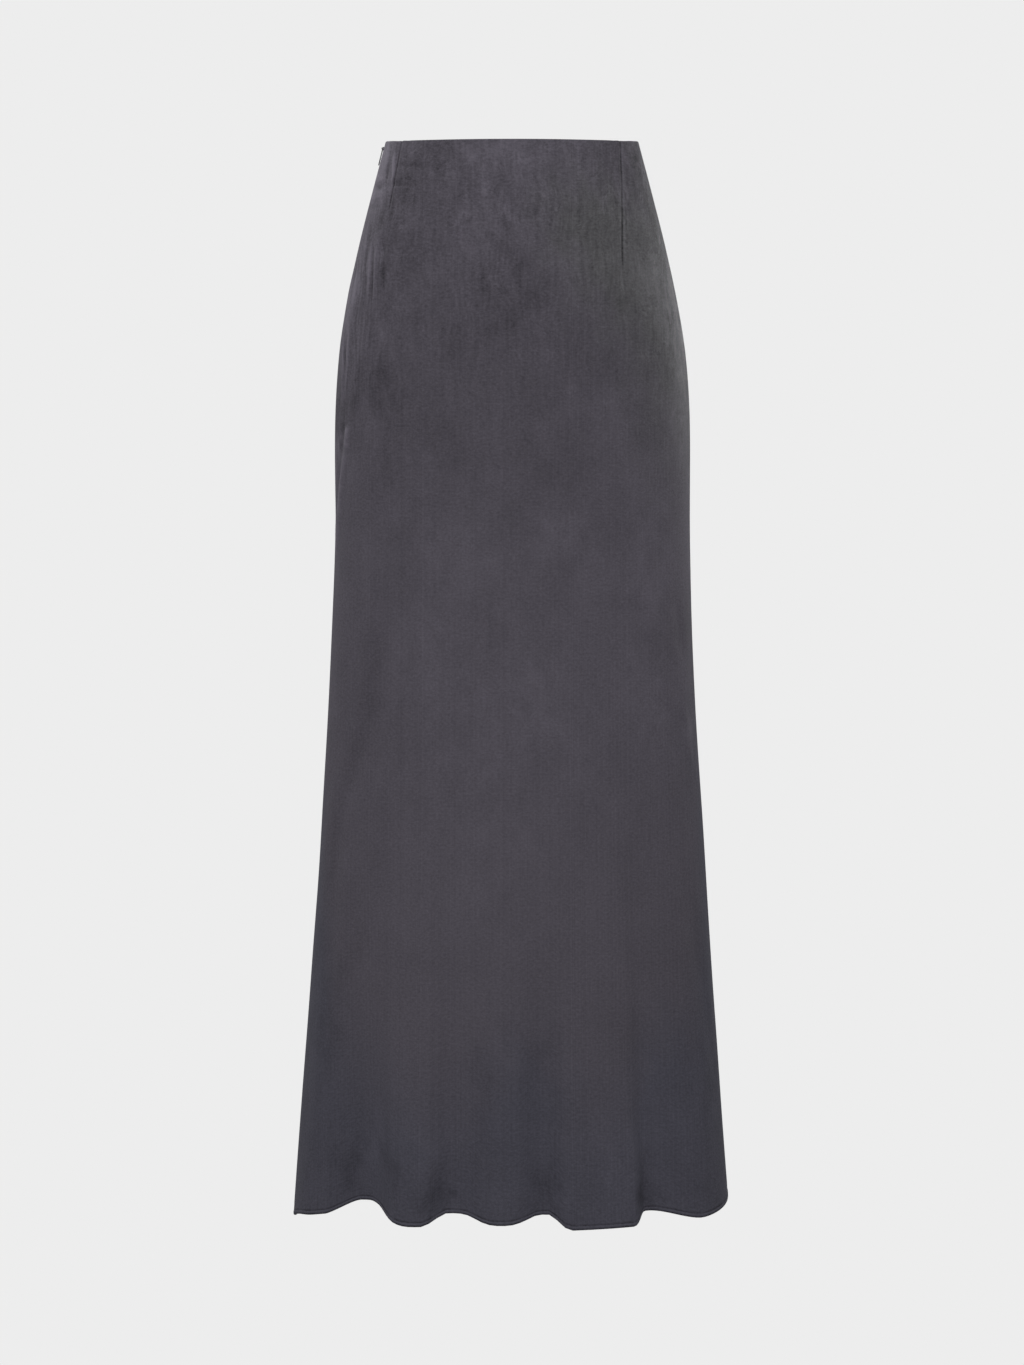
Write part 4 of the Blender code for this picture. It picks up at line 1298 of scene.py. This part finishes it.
def make_slider(axis, material):
    """A closed body behind the tapes, wide at the shoulders, with a thin neck and lug through the seam."""
    slider = rounded_prism("slider", both_sides(SLIDER_OUTLINE), SLIDER_THICK,
                           SLIDER_BEHIND + SLIDER_THICK / 2, SLIDER_ROUNDING, material)
    reach = SLIDER_BEHIND + SLIDER_THICK / 4
    neck = block("neck", (reach, NECK_WIDTH, NECK_HEIGHT), (reach / 2, 0, 0), material, NECK_ROUNDING)
    boolean(slider, neck, "UNION")
    boolean(slider, rod("lug", LUG_RADIUS, NECK_WIDTH, material), "UNION")
    boolean(slider, rod("lug_hole", LUG_HOLE, HOLE_LENGTH, material), "DIFFERENCE")
    slider.data.transform(axis)
    return slider


def make_pull(axis, material):
    """A flat drop-shaped tab with a forked head and a pin through the slider's lug."""
    pull = rounded_prism("pull_tab", smooth_outline(both_sides(PULL_OUTLINE)), PULL_THICK,
                         0, PULL_ROUNDING, material)
    slot_middle = PULL_SLOT_HEIGHT / 2 - PULL_SLOT_DROP
    slot = block("slot", (SLOT_LENGTH, PULL_SLOT, PULL_SLOT_HEIGHT), (0, 0, slot_middle), material)
    boolean(pull, slot, "DIFFERENCE")
    dish = rounded_prism("dish", smooth_outline(both_sides(DISH_OUTLINE)), DISH_THICK,
                         -DISH_OUT, DISH_ROUNDING, material)
    boolean(pull, dish, "DIFFERENCE")
    boolean(pull, rod("pin", PULL_PIN, PULL_PIN_LENGTH, material, 16), "UNION")
    pull.data.transform(axis @ Matrix.Rotation(math.radians(-PULL_LEAN), 4, "Y"))
    return pull


def smooth_by_angle(piece):
    """Flat faces stay flat and round ones smooth."""
    shape = bmesh.new()
    shape.from_mesh(piece.data)
    bmesh.ops.remove_doubles(shape, verts=shape.verts, dist=SAME_PLACE)
    for face in shape.faces:
        face.smooth = True
    for edge in shape.edges:
        if len(edge.link_faces) == 2:
            edge.smooth = edge.calc_face_angle(0) < math.radians(SMOOTH_ANGLE)
    shape.to_mesh(piece.data)
    shape.free()


# ---------------------------------------------------------------- material nodes

# A noise pattern: its scale in a metre, its detail and roughness, and how each axis is scaled again.
Pattern = namedtuple("Pattern", "scale detail roughness stretch", defaults=(2.0, 0.5, None))


def maths(tree, operation, *values, clamp=False):
    """A sum on values and other nodes' outputs."""
    node = add_node(tree, "ShaderNodeMath", enumerate(values), operation=operation, use_clamp=clamp)
    return node.outputs["Value"]


def vector_maths(tree, operation, *values):
    """A sum on vectors."""
    return add_node(tree, "ShaderNodeVectorMath", enumerate(values), operation=operation).outputs["Vector"]


def scaled(tree, value, factor, shift, clamp=False):
    """A value times a factor, plus a shift."""
    return maths(tree, "MULTIPLY_ADD", value, factor, shift, clamp=clamp)


def noise_value(tree, vector, pattern):
    """A noise pattern at a place."""
    if pattern.stretch is not None:
        mapping = add_node(tree, "ShaderNodeMapping", {"Vector": vector, "Scale": pattern.stretch})
        vector = mapping.outputs["Vector"]
    node = add_node(tree, "ShaderNodeTexNoise", {
        "Vector": vector, "Scale": pattern.scale, "Detail": pattern.detail, "Roughness": pattern.roughness})
    return node.outputs["Fac"]


def centred_noise(tree, vector, pattern):
    """A noise pattern above and below 0."""
    return maths(tree, "SUBTRACT", noise_value(tree, vector, pattern), 0.5)


def shade(colour, amount):
    """A lighter or darker shade of a colour."""
    return tuple(channel * amount for channel in colour)


def tinted(tree, dark, light, factor):
    """A colour between two, which are colours or other nodes' outputs."""
    ends = [(*colour, 1) if isinstance(colour, tuple) else colour for colour in (dark, light)]
    sockets = {0: factor, 6: ends[0], 7: ends[1]}
    return add_node(tree, "ShaderNodeMix", sockets, data_type="RGBA", clamp_factor=True).outputs[2]


def bumped(tree, height, strength, distance, under=None):
    """A surface's direction with a small relief; another relief may lie under it."""
    values = {"Height": height, "Strength": strength, "Distance": distance}
    if under is not None:
        values["Normal"] = under
    return add_node(tree, "ShaderNodeBump", values).outputs["Normal"]


def cloth_place(tree):
    """Where a point is on its cloth, in metres."""
    return add_node(tree, "ShaderNodeUVMap", uv_map="cloth").outputs["UV"]


def object_place(tree):
    """Where a point is on the skirt, in metres."""
    return add_node(tree, "ShaderNodeTexCoord").outputs["Object"]


def attribute_value(tree, name):
    """How a point of the cloth's nap lies, from the cloth's own attribute."""
    return add_node(tree, "ShaderNodeAttribute", attribute_name=name).outputs["Fac"]


def new_group(name, inputs, outputs):
    """A node group and the outputs of its input node."""
    group = bpy.data.node_groups.new(name, "ShaderNodeTree")
    return group, add_sockets(group, inputs, outputs)


def place_group(tree, group, **inputs):
    """A group in a material, with its own values; a low line in a name stands for a space."""
    sockets = {label.replace("_", " "): value for label, value in inputs.items()}
    return add_node(tree, "ShaderNodeGroup", sockets, node_tree=group).outputs


def new_material(name):
    """A material, its tree and its surface shader."""
    material = bpy.data.materials.new(name)
    material.use_nodes = True
    return material, material.node_tree, material.node_tree.nodes["Principled BSDF"]


def finish_surface(tree, surface, colour, roughness, normal=None, **constants):
    """Feeds a surface shader its colour, roughness and relief, and sets what is the same all over."""
    tree.links.new(colour, surface.inputs["Base Color"])
    tree.links.new(roughness, surface.inputs["Roughness"])
    if normal is not None:
        tree.links.new(normal, surface.inputs["Normal"])
    for label, value in constants.items():
        surface.inputs[label.replace("_", " ")].default_value = value


# ---------------------------------------------------------------- satin

# The cloth's colours where the nap lies at its middle.
SATIN = (0.0990, 0.0904, 0.1105)
# Darker and bluer, for the shade painted low down and at the sides.
SATIN_IN_NAVY_SHADE = (0.0838, 0.0815, 0.1046)
FADED_SATIN = (0.0980, 0.0960, 0.1025)
DARKEST, LIGHTEST = 0.3, 1.7          # shares of them as the tone, nap and painted light together, goes from 0 to 1
SATIN_ROUGHNESS = 0.72
TURNED_LIGHTNESS = 0.9                # the darts' folds, which were never brushed
TURNED_ROUGHNESS = 0.6
SATIN_THREADS = 2900.0                # floats side by side in a metre, and ties along it
SATIN_TIES = 420.0
WEAVE_TONE = 0.16
WEAVE_BUMP = (0.35, 0.00008)          # strength and height
NAP_BUMP = (0.25, 0.0005)

# In the weave: how far each float's ties are set on from the last one's, in shares of the way
# between ties, and how far they stray; and how sharp and deep a tie is.
TIE_STAGGER = 0.4
TIE_STRAY = 0.25
TIE_SHARPNESS = 6.0
TIE_DEPTH = 0.7

# The nap's patterns, in the metres of the cloth.
GRAIN = Pattern(470.0, 2.0, 0.7, (0.80, 1.10, 1.0))
CLOUDS = Pattern(24.0, 2.5, 0.5, (1.0, 0.85, 1.0))
DRIFTS = Pattern(8.0, 1.5, 0.5)
STREAKS = Pattern(150.0, 3.0, 0.65, (1.0, 0.40, 1.0))
COMBING = Pattern(260.0, 2.0, 0.6, (1.0, 0.07, 1.0))
CRINKLES = Pattern(330.0, 1.5, 0.6, (0.50, 1.0, 1.0))
UNEVENNESS = Pattern(75.0, 3.0, 0.6, (1.0, 0.60, 1.0))
WANDER_SCALE = 24.0                   # how the patterns wander, and how far
WANDER = 0.016

# How much each pattern lightens or darkens the satin, and how much more where it is mottled.
GRAIN_SHARE, GRAIN_MOTTLED = 0.46, 0.35
CRINKLE_SHARE, CRINKLE_MOTTLED = 0.06, 0.40
CLOUD_SHARE, DRIFT_SHARE = 0.8, 0.45
DAB_SHARE, STREAK_SHARE = 1.15, 0.70
ROUGH_CLOUDS, SMOOTH_MARKS = 0.2, -0.2
UNEVEN_LIE = (2.6, -0.3)              # factor and shift

# Two sizes of dab: how many in a metre, how fine their strokes are, and where they start.
Dabs = namedtuple("Dabs", "scale fineness offset")
BROAD_DABS = Dabs(38.0, 215.0, 0.0)
SMALL_DABS = Dabs(66.0, 340.0, 0.37)
DAB_STROKES = Pattern(None, 3.0, 0.7, (1.0, 0.34, 1.0))
DAB_TURN = (2.0, -1.0)                # factors and shifts: radians that a dab is turned by,
DAB_EDGE = (-1.9, 1.25)               # how it fades towards its edge,
DAB_STRENGTH = (2.2, -0.7)            # how strongly it shows, if at all,
DAB_CONTRAST = (2.0, -0.92)           # and how its strokes differ


def weave_group():
    """Satin weave: long floats side by side, each tied down at its own place."""
    group, inputs = new_group("woven_floats", (
        ("Place", "Vector", None),
        ("Threads per metre", "Float", 3000.0),
        ("Ties per metre", "Float", 500.0),
    ), (("Height", "Float"), ("Tone", "Float")))
    across, along, _ = add_node(group, "ShaderNodeSeparateXYZ", {"Vector": inputs["Place"]}).outputs
    count = maths(group, "MULTIPLY", across, inputs["Threads per metre"])
    thread = maths(group, "FLOOR", count)
    centred = scaled(group, maths(group, "SUBTRACT", count, thread), 2.0, -1.0)
    round_thread = maths(group, "SUBTRACT", 1.0, maths(group, "MULTIPLY", centred, centred))
    own = add_node(group, "ShaderNodeTexWhiteNoise", {"W": thread}, noise_dimensions="1D").outputs["Value"]
    run = maths(group, "MULTIPLY", along, inputs["Ties per metre"])
    staggered = maths(group, "ADD", run, maths(group, "MULTIPLY", thread, TIE_STAGGER))
    staggered = maths(group, "ADD", staggered, maths(group, "MULTIPLY", own, TIE_STRAY))
    wave = maths(group, "SINE", maths(group, "MULTIPLY", staggered, 2 * math.pi))
    tie = maths(group, "POWER", scaled(group, wave, 0.5, 0.5), TIE_SHARPNESS)
    height = maths(group, "SUBTRACT", round_thread, maths(group, "MULTIPLY", tie, TIE_DEPTH))
    tone = maths(group, "MULTIPLY_ADD", own, 0.5, maths(group, "MULTIPLY", height, 0.5))
    add_node(group, "NodeGroupOutput", {"Height": height, "Tone": tone})
    return group


def brushed_dabs(group, place, size):
    """Short strokes in small dabs, each dab brushed its own way."""
    moved = vector_maths(group, "ADD", place, (size.offset, size.offset, 0.0))
    cells = add_node(group, "ShaderNodeTexVoronoi", {"Vector": moved, "Scale": size.scale}).outputs
    local = vector_maths(group, "SUBTRACT", moved, cells["Position"])
    parts = add_node(group, "ShaderNodeSeparateColor", {"Color": cells["Color"]}).outputs
    turned = add_node(group, "ShaderNodeVectorRotate",
                      {"Vector": local, "Angle": scaled(group, parts["Red"], *DAB_TURN)},
                      rotation_type="Z_AXIS")
    own = vector_maths(group, "ADD", turned.outputs["Vector"], cells["Color"])
    strokes = noise_value(group, own, DAB_STROKES._replace(scale=size.fineness))
    edge = scaled(group, cells["Distance"], *DAB_EDGE, clamp=True)
    strength = scaled(group, parts["Green"], *DAB_STRENGTH, clamp=True)
    light = scaled(group, strokes, *DAB_CONTRAST)
    return maths(group, "MULTIPLY", maths(group, "MULTIPLY", light, edge), strength)


def nap_group():
    """Sueded nap: a fine grain, soft clouds, fine combed lines, and dabs where it has been brushed."""
    group, inputs = new_group("sueded_nap", (
        ("Place", "Vector", None),
        ("Lie", "Float", 0.0),
        ("Mottled", "Float", 0.5),
        ("Brushed", "Float", 0.1),
        ("Combed", "Float", 0.1),
        ("Grain", "Float", 1.0),
    ), (("Lightness", "Float"), ("Roughening", "Float"), ("Fuzz", "Float")))
    place, mottled = inputs["Place"], inputs["Mottled"]
    grain = centred_noise(group, place, GRAIN)
    cloud = centred_noise(group, place, CLOUDS)
    drift = centred_noise(group, place, DRIFTS)
    wander = add_node(group, "ShaderNodeTexNoise", {"Vector": place, "Scale": WANDER_SCALE, "Detail": 1.0})
    wandering = vector_maths(group, "MULTIPLY_ADD", wander.outputs["Color"], (WANDER, WANDER, 0.0), place)
    streak = centred_noise(group, wandering, STREAKS)
    combing = centred_noise(group, wandering, COMBING)
    crinkle = centred_noise(group, wandering, CRINKLES)
    broad, small = (brushed_dabs(group, wandering, size) for size in (BROAD_DABS, SMALL_DABS))

    brushed = maths(group, "MULTIPLY_ADD", maths(group, "ADD", broad, small), DAB_SHARE,
                    maths(group, "MULTIPLY", streak, STREAK_SHARE))
    marks = maths(group, "MULTIPLY", brushed, inputs["Brushed"])
    marks = maths(group, "ADD", marks, maths(group, "MULTIPLY", combing, inputs["Combed"]))
    grains = maths(group, "MULTIPLY", maths(group, "MULTIPLY", grain, inputs["Grain"]),
                   scaled(group, mottled, GRAIN_MOTTLED, GRAIN_SHARE))
    clouds = maths(group, "MULTIPLY_ADD", drift, DRIFT_SHARE, maths(group, "MULTIPLY", cloud, CLOUD_SHARE))
    clouds = maths(group, "MULTIPLY", clouds, mottled)
    crinkles = maths(group, "MULTIPLY", crinkle, scaled(group, mottled, CRINKLE_MOTTLED, CRINKLE_SHARE))
    uneven = noise_value(group, wandering, UNEVENNESS)
    # The lie it is given holds painted highlights and painted shade as well as the nap's own lie.
    lie = maths(group, "MULTIPLY", inputs["Lie"], scaled(group, uneven, *UNEVEN_LIE))
    lightness = grains
    for part in (clouds, crinkles, marks, lie):
        lightness = maths(group, "ADD", lightness, part)
    rough = maths(group, "MULTIPLY_ADD", cloud, ROUGH_CLOUDS, maths(group, "MULTIPLY", marks, SMOOTH_MARKS))
    fuzz = maths(group, "ADD", grain, marks)
    add_node(group, "NodeGroupOutput", {"Lightness": lightness, "Roughening": rough, "Fuzz": fuzz})
    return group


def satin_material(name, weave, suede, lightness=1.0, roughness=SATIN_ROUGHNESS):
    """Sueded charcoal satin: fine floats under an uneven nap, with painted shade of a navy cast towards the
    hem and sides, highlights and shade painted along its lines and in patches, and faded on a hip.
    """
    material, tree, surface = new_material(name)
    place = cloth_place(tree)
    # The nap attribute holds painted highlights and painted shade, and the navy one painted shade with a navy
    # cast.
    nap, mottled, brushed, combed, navy_shade, faded = (
        attribute_value(tree, label) for label in ("nap", "mottled", "brushed", "combed", "navy_shade", "faded"))
    lie = place_group(tree, suede, Place=place, Lie=nap, Mottled=mottled, Brushed=brushed, Combed=combed,
                      Grain=1.0)
    floats = place_group(tree, weave, Place=place, Threads_per_metre=SATIN_THREADS,
                         Ties_per_metre=SATIN_TIES)
    tone = maths(tree, "ADD", maths(tree, "ADD", lie["Lightness"], 0.5),
                 scaled(tree, floats["Tone"], WEAVE_TONE, -WEAVE_TONE / 2))
    shades = []
    for share in (DARKEST * lightness, LIGHTEST * lightness):
        blue = tinted(tree, shade(SATIN, share), shade(SATIN_IN_NAVY_SHADE, share), navy_shade)
        shades.append(tinted(tree, blue, shade(FADED_SATIN, share), faded))
    weave_normal = bumped(tree, floats["Height"], *WEAVE_BUMP)
    finish_surface(
        tree, surface,
        tinted(tree, *shades, tone),
        maths(tree, "ADD", lie["Roughening"], roughness, clamp=True),
        bumped(tree, lie["Fuzz"], *NAP_BUMP, under=weave_normal),
        Specular_IOR_Level=0.12,
        Sheen_Weight=0.05,
        Sheen_Roughness=0.3,
        Sheen_Tint=(0.80, 0.80, 0.90, 1),
    )
    return material


# ---------------------------------------------------------------- tape, thread, nylon and enamel

TAPE_COLOURS = ((0.018, 0.018, 0.023), (0.058, 0.056, 0.070))
TAPE_THREADS = 1900.0
TAPE_TIES = 1500.0
TAPE_WEAVE_TONE = 0.6
TAPE_ROUGHNESS = 0.78
TAPE_BUMP = (0.6, 0.00015)

THREAD_COLOURS = ((0.022, 0.021, 0.028), (0.080, 0.076, 0.096))
THREAD_FIBRES = Pattern(5200.0, 2.0, 0.6)
THREAD_ROUGHNESS = (0.3, 0.45)        # here and below: factor and shift
THREAD_BUMP = (0.5, 0.0001)

NYLON_COLOURS = ((0.020, 0.020, 0.026), (0.048, 0.047, 0.058))
NYLON_ROUGHNESS = (0.25, 0.25)
NYLON_SCRATCHES = 1500.0

ENAMEL_COLOURS = ((0.088, 0.082, 0.100), (0.150, 0.146, 0.158))
ENAMEL_ROUGHNESS = (0.30, 0.32)
ENAMEL_SCRATCHES = 1100.0
ENAMEL_RIPPLE = Pattern(1800.0)
ENAMEL_BUMP = (0.15, 0.0001)

RUBBED_ABOVE = 0.66                   # the paint is scratched where a noise is above this
FINGER_MARKS = Pattern(240.0)


def tape_material(weave, suede):
    """Woven zip tape: a close ribbed weave, matt and a little darker than the satin."""
    material, tree, surface = new_material("woven_tape")
    place = cloth_place(tree)
    ribs = place_group(tree, weave, Place=place, Threads_per_metre=TAPE_THREADS, Ties_per_metre=TAPE_TIES)
    lie = place_group(tree, suede, Place=place, Mottled=0.3, Brushed=0.1, Combed=0.1, Grain=0.8)
    tone = maths(tree, "MULTIPLY_ADD", ribs["Tone"], TAPE_WEAVE_TONE, lie["Lightness"])
    finish_surface(tree, surface, tinted(tree, *TAPE_COLOURS, tone),
                   maths(tree, "ADD", lie["Roughening"], TAPE_ROUGHNESS, clamp=True),
                   bumped(tree, ribs["Height"], *TAPE_BUMP))
    return material


def thread_material():
    """Spun polyester thread, twisted and slightly hairy, a shade darker than the satin."""
    material, tree, surface = new_material("sewing_thread")
    fibres = noise_value(tree, object_place(tree), THREAD_FIBRES)
    finish_surface(tree, surface, tinted(tree, *THREAD_COLOURS, fibres),
                   scaled(tree, fibres, *THREAD_ROUGHNESS), bumped(tree, fibres, *THREAD_BUMP))
    return material


def wear_group():
    """Rub marks: small scratches and dull patches on things that fingers touch."""
    group, inputs = new_group("finger_wear", (
        ("Place", "Vector", None),
        ("Scratch scale", "Float", 900.0),
    ), (("Dulling", "Float"), ("Rubbed", "Float")))
    fine = noise_value(group, inputs["Place"], Pattern(inputs["Scratch scale"], 4.0))
    broad = noise_value(group, inputs["Place"], FINGER_MARKS)
    rubbed = maths(group, "MULTIPLY", maths(group, "GREATER_THAN", fine, RUBBED_ABOVE), broad)
    add_node(group, "NodeGroupOutput", {"Dulling": broad, "Rubbed": rubbed})
    return group


def coil_material(wear):
    """Extruded nylon, dark and slightly glossy."""
    material, tree, surface = new_material("nylon_monofilament")
    marks = place_group(tree, wear, Place=object_place(tree), Scratch_scale=NYLON_SCRATCHES)
    finish_surface(tree, surface, tinted(tree, *NYLON_COLOURS, marks["Dulling"]),
                   scaled(tree, marks["Dulling"], *NYLON_ROUGHNESS))
    return material


def metal_material(wear):
    """Painted zinc: lacquer matched to the cloth, a little rubbed."""
    material, tree, surface = new_material("enamelled_zinc")
    place = object_place(tree)
    marks = place_group(tree, wear, Place=place, Scratch_scale=ENAMEL_SCRATCHES)
    finish_surface(tree, surface, tinted(tree, *ENAMEL_COLOURS, marks["Rubbed"]),
                   scaled(tree, marks["Dulling"], *ENAMEL_ROUGHNESS),
                   bumped(tree, noise_value(tree, place, ENAMEL_RIPPLE), *ENAMEL_BUMP),
                   Coat_Weight=0.3, Coat_Roughness=0.25)
    return material


# ---------------------------------------------------------------- studio

WHITE_SEEN = 0.847        # how bright the wall and the floor look
ROOM_LIGHT = 0.42         # and how brightly each of them lights the skirt
FLOOR_LIGHT = 0.30
FLOOR_HEIGHT = -1.16
FLOOR_RADIUS = 3.0

CAMERA_PLACE = (0, -3.3, -0.5006)
CAMERA_LENS = 93.99
CAMERA_SENSOR = 36

# Soft lamps: where each stands and points, its width and height, its watts and its spread in degrees.
Lamp = namedtuple("Lamp", "name place target size power spread", defaults=(180,))
LIGHTS = (
    Lamp("overhead_left", (-0.75, 0.15, 1.10), (-0.45, 0, -0.2), (1.0, 1.2), 10),
    Lamp("overhead_right", (0.95, 0.15, 0.75), (0.15, 0, -0.25), (0.9, 1.2), 5),
    Lamp("overhead_front", (0.0, -0.7, 1.20), (0, -0.1, -0.2), (1.2, 0.8), 2),
    Lamp("side_left", (-1.00, 0.80, 0.60), (-0.13, 0, -0.05), (0.5, 0.6), 3),
    Lamp("side_right", (1.05, 0.90, 0.06), (0.17, 0, -0.18), (0.4, 0.5), 0.25, 38),
    Lamp("key", (-1.2, -3.0, 0.4), (0, 0, -0.45), (1.5, 1.8), 15.1),
    Lamp("fill", (0.8, -3.2, 0.2), (0, 0, -0.45), (1.6, 2.0), 8),
)


def seen_and_lit(tree, shader, output, seen, lit):
    """One even brightness for the camera to see, and another that lights the skirt."""
    tree.nodes.clear()
    path = add_node(tree, "ShaderNodeLightPath")
    room_side = add_node(tree, shader, {"Color": (lit, lit, lit, 1)})
    camera_side = add_node(tree, shader, {"Color": (seen, seen, seen, 1)})
    choose = add_node(tree, "ShaderNodeMixShader", {
        "Fac": path.outputs["Is Camera Ray"], 1: room_side.outputs[0], 2: camera_side.outputs[0]})
    add_node(tree, output, {"Surface": choose.outputs["Shader"]})


def make_studio():
    """A pale room and a pale round floor."""
    world = bpy.data.worlds.new("studio")
    world.use_nodes = True
    bpy.context.scene.world = world
    seen_and_lit(world.node_tree, "ShaderNodeBackground", "ShaderNodeOutputWorld", WHITE_SEEN, ROOM_LIGHT)

    material = bpy.data.materials.new("pale_floor")
    material.use_nodes = True
    seen_and_lit(material.node_tree, "ShaderNodeEmission", "ShaderNodeOutputMaterial", WHITE_SEEN,
                 FLOOR_LIGHT)
    shape = bmesh.new()
    bmesh.ops.create_circle(shape, cap_ends=True, segments=96, radius=FLOOR_RADIUS,
                            matrix=Matrix.Translation((0, 0, FLOOR_HEIGHT)))
    floor = add_shape("studio_floor", shape, material)


def make_lights():
    """Broad soft light from above, from both sides and from the front."""
    for lamp in LIGHTS:
        light = bpy.data.lights.new(lamp.name, "AREA")
        light.shape = "RECTANGLE"
        light.size, light.size_y = lamp.size
        light.energy = lamp.power
        light.spread = math.radians(lamp.spread)
        item = add_object(lamp.name, light)
        item.location = lamp.place
        aim = Vector(lamp.target) - Vector(lamp.place)
        item.rotation_euler = aim.to_track_quat("-Z", "Y").to_euler()


def make_camera():
    """A long lens, level with the middle of the skirt."""
    lens = bpy.data.cameras.new("camera")
    lens.lens = CAMERA_LENS
    lens.sensor_width = CAMERA_SENSOR
    camera = add_object("camera", lens)
    camera.location = CAMERA_PLACE
    camera.rotation_euler = (math.radians(90), 0, 0)
    bpy.context.scene.camera = camera


# ---------------------------------------------------------------- the skirt, made up

FRONT_COLUMNS = (51, 87, 45)     # columns of cloth between the seams and the darts
BACK_COLUMNS = (53, 76, 54)


def make_skirt():
    """Every piece of the skirt, what it moves with, the solids it stands for, and its finish."""
    weave, suede, wear = weave_group(), nap_group(), wear_group()
    satin = satin_material("charcoal_satin", weave, suede)
    turned = satin_material("turned_charcoal_satin", weave, suede, TURNED_LIGHTNESS, TURNED_ROUGHNESS)
    tape = tape_material(weave, suede)
    thread = thread_material()
    nylon = coil_material(wear)
    enamel = metal_material(wear)

    front_darts = sorted(DARTS[:2], key=lambda dart: dart.waist_angle)
    back_darts = DARTS[2:]
    front = panel_cloth("front_cloth", -90, 90, front_darts, FRONT_COLUMNS, satin)
    back = panel_cloth("back_cloth", 90, 270, back_darts, BACK_COLUMNS, satin)
    stitch_row = row_tree("row_of_stitches", stitch_shape)
    coil_row = row_tree("row_of_coils", coil_shape)
    front_hem = hem_stitches("front_hem_stitches", -90, 90, stitch_row, thread)
    back_hem = hem_stitches("back_hem_stitches", 90, 270, stitch_row, thread)
    front_edge = overlock("front_overlock", -90, 90, stitch_row, thread)
    back_edge = overlock("back_overlock", 90, 270, stitch_row, thread)
    coil = zip_coil(coil_row, nylon)
    tape_front = zip_tape("front_tape", 1, tape)
    tape_back = zip_tape("back_tape", -1, tape)
    axis = zip_axis()
    slider = make_slider(axis, enamel)
    pull = make_pull(axis, enamel)
    for piece in (slider, pull):
        smooth_by_angle(piece)

    for dart in DARTS:
        fold = dart_fold(dart, turned)
        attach(fold, "skirt")
        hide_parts(dart.name)

    sewn = (front_hem, back_hem, front_edge, back_edge)
    for piece in (front, back, *sewn, coil, tape_front, tape_back, slider):
        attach(piece, "skirt")
    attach(pull, "pull")
    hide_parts("front_panel", "hem_front")
    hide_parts("back_panel", "hem_back")
    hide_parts("zip_tape_front")
    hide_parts("zip_tape_back")
    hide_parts("zip_coil")
    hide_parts("zip_slider")
    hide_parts("zip_pull")


make_studio()
make_lights()
make_camera()
make_skirt()
bpy.context.scene.view_settings.view_transform = "Standard"
